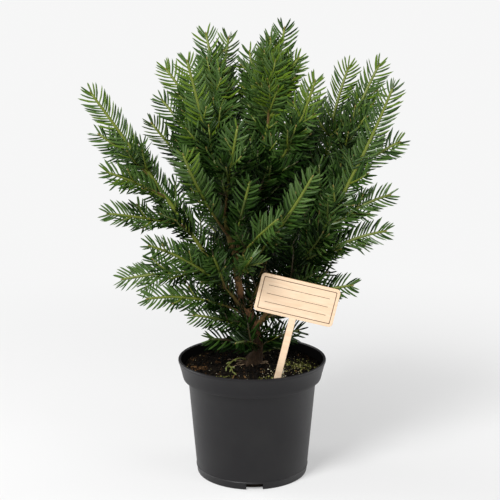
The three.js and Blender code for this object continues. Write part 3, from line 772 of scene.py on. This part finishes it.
WOOD_END = 0.55
trunk = limbs["trunk"]
points, faces, youth_marks = bark_tube(trunk, -0.02, trunk.bare, 44, 1.1)
points[:, 2] = np.maximum(points[:, 2], -TRUNK_BURIED)
trunk_piece = wooden_piece("trunk_bark", [(points, faces, youth_marks)])
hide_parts("trunk")

parts = []
for limb in limbs.values():
    start = 0 if limb.parent else limb.bare
    parts.append(bark_tube(limb, start, WOOD_END, 14 if limb.foot_radius > 2.5 else 10, 2.6))
boughs = wooden_piece("boughs_bark", parts)
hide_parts(*[name for name in frame["nodes"] if name.endswith("_bough")])

# ---- Shoots -----------------------------------------------------------------------------
# This and last year's growth: thin green shoots wind up every limb, the longest of them
# bear smaller ones, and short leafy spurs line the older wood inside the crown.

LAST_SHOOT = 0.70
SHOOT_RADIUS = 1.6
SHOOT_TIP_RADIUS = 1.0
NEEDLE_CUSHION = 0.6
TIP_REACH = 7.0
SHOOT_TIP_REACH = 14.0
SPUR_PITCH = 10.0
SPUR_LEAN = 60
SPUR_LENGTHS = (26, 44)
SHORT_PITCH = 20.0
SHORT_LENGTHS = (34, 50)
TWIGLET_SIZES = (46, 56)
TWIGLET_LEAST = 22
SPRAY_TILT = math.radians(58)
CROWN_DEPTH = 30.0
CROWN_FACE = 60.0
CROWN_TURN = 0.3


def flat_side(along, root, spare):
    """The direction across a shoot's flat, whose top faces up and to the outside of the crown."""
    depth = root[1] - CROWN_DEPTH
    outside = unit(np.array((CROWN_TURN * root[0], depth + math.copysign(CROWN_FACE, depth), 0.0)))
    side = np.cross(along, UP * math.cos(SPRAY_TILT) + outside * math.sin(SPRAY_TILT))
    return unit(side) if np.linalg.norm(side) > 0.1 else spare


class Shoot:
    """A thin leafy stem: its curve, the direction of its flat side, and its youth."""

    def __init__(self, root, along, length, spare, seed, youth, sag=0.05):
        end = root + along * max(4.0, length - SHOOT_TIP_REACH)
        self.curve = Curve(root, (root + end) / 2 - UP * length * sag, end)
        self.side = flat_side(along, root, spare)
        self.length, self.seed, self.youth = length, seed, youth


def shoot_on(limb, t, roll, lean, length, seed, youth):
    """A shoot that leaves a limb at a place, a turn about it and a lean away from it."""
    at, along, side, rise = limb.frame(t)
    out = side * math.cos(roll) + rise * math.sin(roll)
    heading = unit(along * math.cos(lean) + out * math.sin(lean) + 0.07 * UP)
    return Shoot(at, heading, length, limb.across, seed, youth)


def loose(degrees, play, seed, step):
    """An angle in radians, near a number of degrees by up to half its play."""
    return math.radians(degrees + play * (draw(seed, step) - 0.5))


def between(ends, share):
    return ends[0] + (ends[1] - ends[0]) * share


# Each kind of shoot counts its seeds from a number of its own, so that none repeats another.
def side_shoots(limb):
    """The limb's own shoots, at the same places and lengths as in its solid mass."""
    seed = limb.index + 1
    for k in range(limb.shoots):
        step = (k + 0.25 + 0.5 * draw(seed, k)) / limb.shoots
        t = limb.bare + (LAST_SHOOT - limb.bare) * step
        roll = loose(limb.winding(k, 0), 20, seed, k + 50)
        lean = loose(46 - 12 * t, 10, seed, k + 100)
        share = 1 - 0.5 * (t - limb.bare) / (1 - limb.bare)
        length = limb.length * share * (0.85 + 0.3 * draw(seed, k + 150))
        yield shoot_on(limb, t, roll, lean, length, seed * 1000 + k, 0.35 + 0.6 * t)


def steepness(limb):
    """From 0 on a limb that leans out to 1 on an upright one."""
    return min(1.0, max(0.0, (limb.curve.along(0.5)[2] - 0.78) / 0.17))


def filling_shoots(limb):
    """Shoots between the limb's own, each on another side of it: upright ones on a steep limb."""
    seed = limb.index + 301
    steep = steepness(limb)
    fills = round(3 * steep)
    last = 0.40 + 0.25 * steep
    for k in range(limb.shoots):
        for third in range(fills):
            step = (k + (third + 0.5) / fills + 0.3 * (draw(seed, k) - 0.5)) / limb.shoots
            t = limb.bare * 0.6 + (last - limb.bare * 0.6) * min(step, 1.0)
            roll = math.radians(limb.winding(k, 90 * (third + 1)) + 30 * draw(seed, k + 50))
            lean = loose(50 - 14 * t - 22 * steep, 10, seed, k + 100 + third)
            share = 1 - 0.5 * max(0.0, t - limb.bare) / (1 - limb.bare)
            length = limb.length * share * (0.75 + 0.4 * steep + 0.35 * draw(seed, k + 150 + 31 * third))
            yield shoot_on(limb, t, roll, lean, length, seed * 1000 + 3 * k + third, 0.2 + 0.4 * t)


def short_shoots(limb):
    """Short shoots along a limb's leafy part, which stand out from it all round."""
    seed = limb.index + 601
    last = 0.95 if limb.curve.end[1] < -50 else 0.85
    leafy = limb.curve.size * (last - limb.bare)
    pitch = SHORT_PITCH * (1.9 - 0.9 * steepness(limb))
    for k in range(int(leafy / pitch)):
        t = limb.bare + pitch * (k + 0.8 * draw(seed, k)) / limb.curve.size
        roll = math.radians(limb.winding(k, 45))
        lean = loose(50, 20, seed, k + 100)
        length = between(SHORT_LENGTHS, draw(seed, k + 150)) * (1 - 0.35 * t)
        yield shoot_on(limb, t, roll, lean, length, seed * 1000 + k, 0.3 + 0.5 * t)


# Where the crown's outside lies, for the painted light and shade of its growth.
OUTSIDE_RADIUS = 85
OUTSIDE_SPREAD = 0.3
BACK_DEPTH = 1.15
FRONT_DEPTHS = (1.1, 2.0)


def ramp(height, low, high):
    """From 0 at a low height to 1 at a high one."""
    return np.clip((height - low) / (high - low), 0, 1)


def daylight(places, youth):
    """Painted light for growth: from 0, painted shade deep inside the crown, to 1 at its outside, less on
    old growth.
    """
    x, y, z = np.moveaxis(places, -1, 0)
    depth = np.where(y < 0, between(FRONT_DEPTHS, ramp(z, 120, 270)), BACK_DEPTH)
    sideways = np.hypot(x, depth * y) / (OUTSIDE_RADIUS + OUTSIDE_SPREAD * z)
    open_air = np.maximum(sideways, (z - 150) / 190) * np.clip(0.4 + z / 130, 0, 1)
    youth = np.maximum(youth, ramp(z, 240, 380))
    return np.clip(open_air, 0, 1) ** 1.1 * (0.4 + 0.6 * youth)


def twiglets(shoot):
    """Smaller shoots in the flat of a long one, turn about on its two sides."""
    count = sum(shoot.length > size for size in TWIGLET_SIZES)
    for k in range(count):
        t = 0.12 + 0.17 * k + 0.06 * draw(shoot.seed, k + 7)
        along = shoot.curve.along(t)
        way = shoot.side if (k + shoot.seed) % 2 else -shoot.side
        lean = math.radians(38 + 8 * draw(shoot.seed, k + 9))
        heading = unit(along * math.cos(lean) + way * math.sin(lean) + 0.1 * UP)
        length = shoot.length * (0.6 - 0.07 * k) * (0.85 + 0.3 * draw(shoot.seed, k + 11))
        length, youth = max(TWIGLET_LEAST, length), 0.6 * shoot.youth
        yield Shoot(shoot.curve.at(t), heading, length, shoot.side, shoot.seed * 10 + k, youth)


def spurs(limb):
    """Short shoots on the old wood between the limb's foot and its leafy part."""
    seed = limb.index + 41
    reach = limb.curve.size * limb.bare
    first = 30.0 if limb.parent is None else 12.0
    for k in range(int((reach - first) / SPUR_PITCH)):
        t = (first + SPUR_PITCH * (k + 0.8 * draw(seed, k))) / limb.curve.size
        roll = math.radians(limb.winding(k, 90))
        length = between(SPUR_LENGTHS, draw(seed, k + 60)) * (1 if limb.foot_radius > 2 else 0.75)
        yield shoot_on(limb, t, roll, math.radians(SPUR_LEAN), length, seed * 1000 + k, 0.1)


# From the label's side the plant is seen from this slope, and from this far in millimetres.
VIEW_SLOPE = 0.2
VIEW_DISTANCE = 1350
label_from_row = np.array(LABEL_PLACE.inverted())


def beside_label(points, margin):
    """Which points, in millimetres above the soil, would pierce the label or hide its face."""
    in_front = np.minimum(points[..., 1] - LABEL_CENTRE.y / MM, 0)
    seen = points + in_front[..., None] * UP * VIEW_SLOPE
    local = to_row(seen) @ label_from_row[:3, :3].T + label_from_row[:3, 3]
    x, y, z = np.abs(local[..., 0]), local[..., 1], local[..., 2]
    gap = margin * MM
    board = (x < LABEL_WIDTH / 2 + gap) & (np.abs(z) < LABEL_HEIGHT / 2 + gap)
    stick = (x < LABEL_STICK / 2 + gap) & (z < 0)
    return (y < LABEL_THICKNESS / 2 + gap) & (board | stick)


BARE_STEM = ((86, 124), (150, 214))
BARE_HALF = 14
trunk_line = trunk.curve.at(np.linspace(0, 1, 90))


def before_stem(points):
    """Which points hang in front of the trunk where its foot and its middle stand bare."""
    x, y, z = points.T
    behind = z - VIEW_SLOPE * (TRUNK_FOOT[1] - y)
    middle = np.interp(behind, trunk_line[:, 2], trunk_line[:, 0])
    bare = np.any([(behind > low) & (behind < high) for low, high in BARE_STEM], axis=0)
    return (y < 4) & (np.abs(x - middle) < BARE_HALF) & bare


# Openings between the limbs: their places across and up, half widths and half heights.
OPENINGS = [
    (-97, 214, 18, 16),
    (-68, 165, 18, 18),
    (-111, 131, 34, 14),
    (-72, 76, 28, 13),
    (22, 207, 15, 26),
    (27, 279, 18, 22),
    (92, 273, 18, 18),
    (108, 333, 16, 20),
    (132, 220, 20, 13),
    (169, 263, 22, 17),
    (118, 172, 32, 18),
]
OPENING_SHARE = 0.2


def in_opening(points):
    """Which points lie in an opening, seen level with the crown from the label's side."""
    x, y, z = points.T
    x, z = x / (1 + y / VIEW_DISTANCE), z + VIEW_SLOPE * y
    return np.any([np.hypot((x - a) / w, (z - b) / h) < 1 for a, b, w, h in OPENINGS], axis=0)


growth = {limb.name: [] for limb in limbs.values() if limb.mass is limb}
members = {name: [limb for limb in limbs.values() if limb.mass.name == name] for name in growth}
for limb in limbs.values():
    own = list(side_shoots(limb))
    extra = list(filling_shoots(limb))
    extra += [twiglet for shoot in own + extra for twiglet in twiglets(shoot)]
    extra += list(short_shoots(limb)) + list(spurs(limb))
    for shoot in own + extra:
        line = shoot.curve.at(np.linspace(0, 1, 9))
        if beside_label(line, 3.0).any() or line[:, 2].min() < 3:
            continue
        if shoot in extra and (before_stem(line).any() or in_opening(line).mean() > OPENING_SHARE):
            continue
        growth[limb.mass.name].append(shoot)


def stem_tube(curve, start, end, radius, sides, pitch):
    """A plain tapered stem; radius is a function of the share of the way along."""
    steps = max(2, math.ceil(curve.size * (end - start) / pitch))
    t = start + (end - start) * np.arange(steps + 1) / steps
    along = curve.along(t)
    side = unit(np.cross(along, (0.36, 0.48, 0.8)))
    rise = np.cross(along, side)
    angle = 2 * math.pi * np.arange(sides) / sides
    ring = side[:, None] * np.cos(angle)[:, None] + rise[:, None] * np.sin(angle)[:, None]
    size = np.array([radius(value) for value in t])[:, None, None]
    points = curve.at(t)[:, None] + size * ring
    return points.reshape(-1, 3), tube_faces(steps, sides)


def stem_piece(name, parts, finishes):
    """One smooth piece from stems, each with a material number for each of its faces."""
    points, faces, kinds = gathered(parts)
    piece = joined_mesh(name, to_row(points), faces, finishes, kinds)
    piece.data.shade_smooth()
    return piece


def tip_share(limb):
    """Where a limb's wood ends, so that the needles of its tip reach the limb's end."""
    return 1 - TIP_REACH / limb.curve.size


STEM_LIGHTS = (0.25, 0.5)


def stem_kinds(points, faces, youth):
    """Old, olive or green for each face of a stem, by the light at its first corner: older wood and painted
    shade darker, young growth and painted light greener.
    """
    light = daylight(points[[face[0] for face in faces]], youth)
    return np.digitize(light, STEM_LIGHTS).tolist()


# Stem colours from dark to green: partly the age of the wood, partly painted shade inside the crown and
# painted light at its outside.
STEM_COLOURS = [
    ("stem_old_and_shaded", (0.045, 0.034, 0.012)),
    ("stem_olive_half_lit", (0.060, 0.085, 0.009)),
    ("stem_green_and_lit", (0.125, 0.160, 0.012)),
]
stem_finishes = [plain(name, colour, 0.5) for name, colour in STEM_COLOURS]
for name, shoots in growth.items():
    parts = []
    for limb in members[name]:
        padded = lambda t: limb.radius(t) + NEEDLE_CUSHION
        points, faces = stem_tube(limb.curve, 0.5, tip_share(limb), padded, 7, 6)
        parts.append((points, faces, stem_kinds(points, faces, 1.0)))
    for shoot in shoots:
        slim = min(1.0, 0.55 + shoot.length / 110)
        taper = lambda t: slim * (SHOOT_RADIUS + (SHOOT_TIP_RADIUS - SHOOT_RADIUS) * t)
        points, faces = stem_tube(shoot.curve, 0, 1, taper, 5, 10)
        parts.append((points, faces, stem_kinds(points, faces, shoot.youth)))
    stems = stem_piece(f"{name}_stems", parts, stem_finishes)
    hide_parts(f"{name}_foliage")

# ---- Buds -------------------------------------------------------------------------------
# Each limb and each longer shoot ends in a small plump bud of dry scales; its colour is painted light and
# shade, golden where the crown is open and dark brown inside it.

BUD_LENGTH = 4.2
BUD_RADIUS = 1.1
SHORTEST_BUDDED = 26
GOLDEN_LIGHT = 0.4
# A lit and a shaded copy of one bud colour: painted light and painted shade.
bud_finishes = [
    plain("bud_shaded_brown", (0.030, 0.024, 0.008), 0.6),
    plain("bud_lit_gold", (0.190, 0.150, 0.030), 0.55),
]


def whole_stem(curve, radius, sides, pitch, kind):
    """A stem from end to end of a curve, with one material number for all its faces."""
    points, faces = stem_tube(curve, 0, 1, radius, sides, pitch)
    return points, faces, [kind] * len(faces)


parts = []
for name, shoots in growth.items():
    ends = [(limb.curve, tip_share(limb), 1.0) for limb in members[name]]
    ends += [(shoot.curve, 1.0, shoot.youth) for shoot in shoots if shoot.length > SHORTEST_BUDDED]
    for curve, t, youth in ends:
        foot, along = curve.at(t), curve.along(t)
        bud = Curve(foot, foot + along * BUD_LENGTH / 2, foot + along * BUD_LENGTH)
        plump = lambda t: BUD_RADIUS * math.sin(math.pi * (0.22 + 0.74 * t))
        parts.append(whole_stem(bud, plump, 5, 1.2, int(daylight(foot, youth) > GOLDEN_LIGHT)))
stem_piece("buds", parts, bud_finishes)

# ---- Needles ----------------------------------------------------------------------------
# Flat, pointed, slightly curved blades of about 20 mm with a raised midrib, glossy green
# above and paler beneath. They wind up each shoot and turn into two ranks, so that its
# flat spray faces up and outwards.

NEEDLE_LENGTH = 24.0
NEEDLE_WIDTH = 2.7
NEEDLE_PITCH = 1.85
NEEDLE_BEND = 0.24
NEEDLE_LEAN = 58
NEEDLE_LEAN_LOSS = 4
TIP_STAR = 13.0
STAR_LEAN = 26
TIP_NEEDLES = 11
RANK_RISE = np.radians((17, 0))
RING_PLACES = (0.08, 0.45, 0.84)
RING_WIDTHS = (0.66, 1.0, 0.74)
MIDRIB_HEIGHTS = (0.5, 0.75, 0.5)
RING_POINTS = 3
NEEDLE_POINTS = 2 + RING_POINTS * len(RING_PLACES)
YOUNG_HEIGHT = 250.0
YOUNG_BLEND = 35
TONE_START = 0.35
TONE_RANGE = 3.5
TONE_OF_SPRAYS = 0.5
TONE_OF_NEEDLES = 0.45
LOW_RANK_SHADE = 1.2
NEEDLE_TOPS = [
    # name, colour and gloss, from the inside of the crown outwards: darker and duller as painted shade,
    # lighter and glossier as painted light, the lightest also for young growth
    ("needle_deep_shade", (0.0035, 0.0110, 0.0014), 0.06),
    ("needle_dark_shade", (0.0150, 0.0400, 0.0050), 0.17),
    ("needle_mid", (0.038, 0.084, 0.0130), 0.28),
    ("needle_fresh_and_lit", (0.064, 0.120, 0.024), 0.36),
    ("needle_young_and_lit", (0.090, 0.155, 0.010), 0.30),
]
NEEDLE_UNDERS = [
    ("needle_under_deep_shade", (0.005, 0.013, 0.0025)),
    ("needle_under_half_lit", (0.042, 0.076, 0.017)),
    ("needle_under_young_and_lit", (0.115, 0.180, 0.038)),
]
# Which underside each top tone takes: shaded tops get the painted-shade underside.
UNDER_OF_TOP = np.array((5, 5, 6, 6, 7))


def needle_rows(curve, start, end, side, length, rng):
    """Roots, headings, faces and lengths of the needles along one stem, from its tip down."""
    size = curve.size * (end - start)
    order = np.arange(int(size / NEEDLE_PITCH) + 3)
    from_tip = NEEDLE_PITCH * order * np.clip(0.35 + 0.65 * order / TIP_NEEDLES, 0, 1)
    from_tip = from_tip[from_tip < size]
    order = order[:len(from_tip)]
    count = len(order)
    t = end - from_tip / curve.size
    at, along = curve.at(t), curve.along(t)
    across = unit(side - along * (along @ side)[:, None])
    top = np.cross(across, along)
    star = np.clip(1 - from_tip / TIP_STAR, 0, 1)
    rank = np.where(order % 2, 1.0, -1.0)
    rise = RANK_RISE[(order // 2) % 2] + rng.normal(0, 0.10, count) + star * rng.normal(0, 0.5, count)
    out = across * (rank * np.cos(rise))[:, None] + top * np.sin(rise)[:, None]
    lean = NEEDLE_LEAN - NEEDLE_LEAN_LOSS * from_tip / size - STAR_LEAN * star
    lean = np.radians(lean + rng.normal(0, 3.5, count) * (1 + 2 * star))[:, None]
    heading = along * np.cos(lean) + out * np.sin(lean)
    facing = top - 0.45 * out * np.sin(rise)[:, None] + 0.25 * along + rng.normal(0, 0.14, (count, 3))
    facing = unit(facing - heading * np.sum(facing * heading, axis=1, keepdims=True))
    foot = np.clip((size - from_tip) / 12.0, 0, 1)
    swell = (1 - 0.34 * star) * (0.72 + 0.28 * foot) * rng.normal(1, 0.05, count)
    return (at, heading, facing, along, length * swell), rise < 0.2


def needle_blades(at, heading, facing, along, reach):
    """Points of every needle: a root, three rings of margin, midrib, margin, and a tip."""
    side = np.cross(facing, heading)
    bend = along - heading * np.sum(along * heading, axis=1, keepdims=True)
    reach = reach[:, None]
    half = 0.5 * NEEDLE_WIDTH * (0.65 + 0.35 * reach / NEEDLE_LENGTH)
    points = np.empty((len(at), NEEDLE_POINTS, 3))
    points[:, 0] = at
    for ring, (place, width, height) in enumerate(zip(RING_PLACES, RING_WIDTHS, MIDRIB_HEIGHTS)):
        middle = at + (heading * place + bend * NEEDLE_BEND * place ** 2) * reach
        first = 1 + RING_POINTS * ring
        points[:, first] = middle + side * half * width
        points[:, first + 1] = middle + facing * height
        points[:, first + 2] = middle - side * half * width
    points[:, -1] = at + (heading + bend * NEEDLE_BEND) * reach
    return points


needle_faces, under_side = [], []
last = RING_POINTS * (len(RING_PLACES) - 1)
for k in range(RING_POINTS):
    a, b = 1 + k, 1 + (k + 1) % RING_POINTS
    strip = [(0, b, a)]
    for low in range(0, last, RING_POINTS):
        strip.append((a + low, b + low, b + low + RING_POINTS, a + low + RING_POINTS))
    strip.append((a + last, b + last, NEEDLE_POINTS - 1))
    needle_faces += strip
    under_side += [k == RING_POINTS - 1] * len(strip)
under_side = np.array(under_side)

needle_finishes = [plain(*top, 0.34, Specular_IOR_Level=gloss) for *top, gloss in NEEDLE_TOPS]
needle_finishes += [plain(*under, 0.55, Specular_IOR_Level=0.2) for under in NEEDLE_UNDERS]
for name, shoots in growth.items():
    rng = np.random.default_rng(limbs[name].index + 11)
    stems, blades, kinds = [], [], []
    for limb in members[name]:
        side = flat_side(limb.curve.along(0.8), limb.curve.at(0.8), limb.across)
        stems.append((limb.curve, limb.bare * 0.7, tip_share(limb), side, NEEDLE_LENGTH, 0.85))
    for shoot in shoots:
        length = NEEDLE_LENGTH * min(1.0, 0.68 + shoot.length / 120)
        stems.append((shoot.curve, 0.05, 1.0, shoot.side, length, shoot.youth))
    for curve, start, end, side, length, youth in stems:
        rows, low_rank = needle_rows(curve, start, end, side, length, rng)
        points = needle_blades(*rows)
        kept = ~beside_label(points, 2.0).any(axis=1) & (points[:, :, 2].min(axis=1) > 0.5)
        points, low_rank = points[kept], low_rank[kept]
        # Each needle's tone is painted light and shade: lighter where the crown is open, a step darker on
        # the lower rank as painted shade, then a random spread.
        tone = TONE_START + TONE_RANGE * daylight(points[:, 0], youth) + rng.normal(0, TONE_OF_SPRAYS)
        tone = tone - LOW_RANK_SHADE * low_rank + rng.normal(0, TONE_OF_NEEDLES, len(points))
        height = points[:, 0, 2] + rng.normal(0, YOUNG_BLEND, len(points))
        brightest = np.where(height > YOUNG_HEIGHT, 4, 3)
        top_kinds = np.clip(np.round(tone), 0, brightest).astype(int)
        under_kinds = UNDER_OF_TOP[top_kinds]
        blades.append(points)
        kinds.append(np.where(under_side, under_kinds[:, None], top_kinds[:, None]).ravel())
    points = to_row(np.concatenate(blades).reshape(-1, 3))
    steps = range(0, len(points), NEEDLE_POINTS)
    faces = [tuple(corner + step for corner in face) for step in steps for face in needle_faces]
    kinds = np.concatenate(kinds)
    needles = joined_mesh(f"{name}_needles", points, faces, needle_finishes, kinds)
    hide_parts(f"{name}_foliage")

# ---- Weed and fine roots ----------------------------------------------------------------
# A pale green weed seedling has come up with the yew and leans over the soil beside its
# stem. A few thin roots and stalks lie bare round the stem's foot.

WEED_STEMS = [
    # from, to, and how high it arches, in millimetres on the soil
    ((-7, 2, 6), (-34, -27, 3), 7),
    ((-30, -22, 4), (-24, -44, 3), 4),
    ((6, 4, 11), (44, 14, 15), 5),
    ((22, 10, 15), (34, 24, 14), 3),
]
WEED_LEAVES = (0.5, 0.72, 0.94)
ROOT_THREADS = 16
weed_finishes = [
    plain("weed_green", (0.095, 0.105, 0.014), 0.5),
    plain("weed_leaf", (0.100, 0.120, 0.016), 0.5),
    plain("root_pale", (0.260, 0.180, 0.105), 0.7),
]
rng = np.random.default_rng(8)
parts = []
for start, end, arch in WEED_STEMS:
    start, end = np.array(start, dtype=float), np.array(end, dtype=float)
    stem = Curve(start, (start + end) / 2 + UP * 2 * arch, end)
    parts.append(whole_stem(stem, lambda t: 1.1 - 0.5 * t, 6, 3, 0))
    for k, t in enumerate(WEED_LEAVES):
        root, along = stem.at(t), stem.along(t)
        out = unit(np.cross(along, UP)) * (1 if k % 2 else -1)
        leaf = Curve(root, root + along * 3 + out * 2 + UP, root + along * 6 + out * 4)
        parts.append(whole_stem(leaf, lambda t: 0.35 + 0.75 * math.sin(math.pi * t), 6, 1, 1))
for k in range(ROOT_THREADS):
    turn = rng.uniform(0, 2 * math.pi)
    out = np.array((math.cos(turn), math.sin(turn), 0.0))
    root = TRUNK_FOOT + out * rng.uniform(10, 15)
    end = root + out * rng.uniform(6, 16) + np.array((*rng.uniform(-6, 6, 2), 0.6))
    thread = Curve(root + UP * 0.6, (root + end) / 2 + UP * rng.uniform(1.5, 4), end)
    parts.append(whole_stem(thread, lambda t: 0.5 - 0.2 * t, 5, 2, 2))
stem_piece("weed_and_roots", parts, weed_finishes)

# ---- Studio -----------------------------------------------------------------------------
# A pale seamless floor that fades into the backdrop, a large soft light over the left
# shoulder, a weaker one from the right, and a panel on each side.

CAMERA_DISTANCE = 1.350
CAMERA_HEIGHT = 0.568
CAMERA_PITCH = 11.55
CAMERA_LENS = 78.6
BACKDROP = (0.925, 0.925, 0.925)

bpy.ops.object.select_all(action="DESELECT")
bpy.ops.mesh.primitive_circle_add(vertices=96, radius=9.0, fill_type="NGON", location=(0, 0, 0))
floor = bpy.context.object
floor.name = "floor"
floor_paper, shade = new_material("floor_paper", (0.75, 0.75, 0.75), 0.9, Specular_IOR_Level=0.1)
place = shade.node("ShaderNodeTexCoord", output=3)
away = shade.node("ShaderNodeVectorMath", {"operation": "LENGTH"}, {0: place}, 1)
fade = shade.node(
    "ShaderNodeMapRange",
    {"interpolation_type": "SMOOTHSTEP"},
    {"Value": away, "From Min": 0.1, "From Max": 1.2, "To Min": 0.42},
)


def blend_shaders(tree, share, first, second, target):
    """Mixes two shaders, with share as the part of the second, and links them to a target."""
    blend = tree.nodes.new("ShaderNodeMixShader")
    for socket, source in zip(blend.inputs, (share, first, second)):
        tree.links.new(source, socket)
    tree.links.new(blend.outputs[0], target)


tree = floor_paper.node_tree
glow = tree.nodes.new("ShaderNodeEmission")
glow.inputs["Color"].default_value = (*BACKDROP, 1)
paper, surface = tree.nodes["Principled BSDF"].outputs[0], tree.nodes["Material Output"].inputs[0]
blend_shaders(tree, fade.socket, paper, glow.outputs[0], surface)
floor.data.materials.append(floor_paper)

world = bpy.data.worlds.new("studio")
bpy.context.scene.world = world
world.use_nodes = True
tree = world.node_tree
seen = tree.nodes["Background"]
seen.inputs["Color"].default_value = (*BACKDROP, 1)
seen.inputs["Strength"].default_value = 1.0
ambient = tree.nodes.new("ShaderNodeBackground")
ambient.inputs["Color"].default_value = (1.0, 1.0, 1.0, 1)
ambient.inputs["Strength"].default_value = 0.2
camera_ray = tree.nodes.new("ShaderNodeLightPath").outputs["Is Camera Ray"]
backdrop = tree.nodes["World Output"].inputs["Surface"]
blend_shaders(tree, camera_ray, ambient.outputs[0], seen.outputs[0], backdrop)


def soft_light(name, place, aim, size, power):
    data = bpy.data.lights.new(name, "AREA")
    data.shape = "DISK"
    data.size = size
    data.energy = power
    light = bpy.data.objects.new(name, data)
    light.location = place
    light.rotation_euler = (Vector(aim) - Vector(place)).to_track_quat("-Z", "Y").to_euler()
    bpy.context.scene.collection.objects.link(light)


soft_light("key_light", (-0.9, -1.4, 1.9), (0, 0, 0.35), 0.9, 62)
soft_light("fill_light", (1.7, -1.2, 1.0), (0, 0, 0.3), 1.2, 11)
soft_light("left_panel", (-1.5, 0.35, 0.6), (0, 0, 0.3), 1.2, 16)
soft_light("right_panel", (1.5, 0.35, 0.6), (0, 0, 0.3), 1.2, 11)

camera_data = bpy.data.cameras.new("camera")
camera_data.lens = CAMERA_LENS
camera_data.sensor_width = 36
camera = bpy.data.objects.new("camera", camera_data)
camera.location = (-0.0027, -CAMERA_DISTANCE, CAMERA_HEIGHT)
camera.rotation_euler = (math.radians(90 - CAMERA_PITCH), 0, 0)
bpy.context.scene.collection.objects.link(camera)
bpy.context.scene.camera = camera
bpy.context.scene.view_settings.view_transform = "Standard"
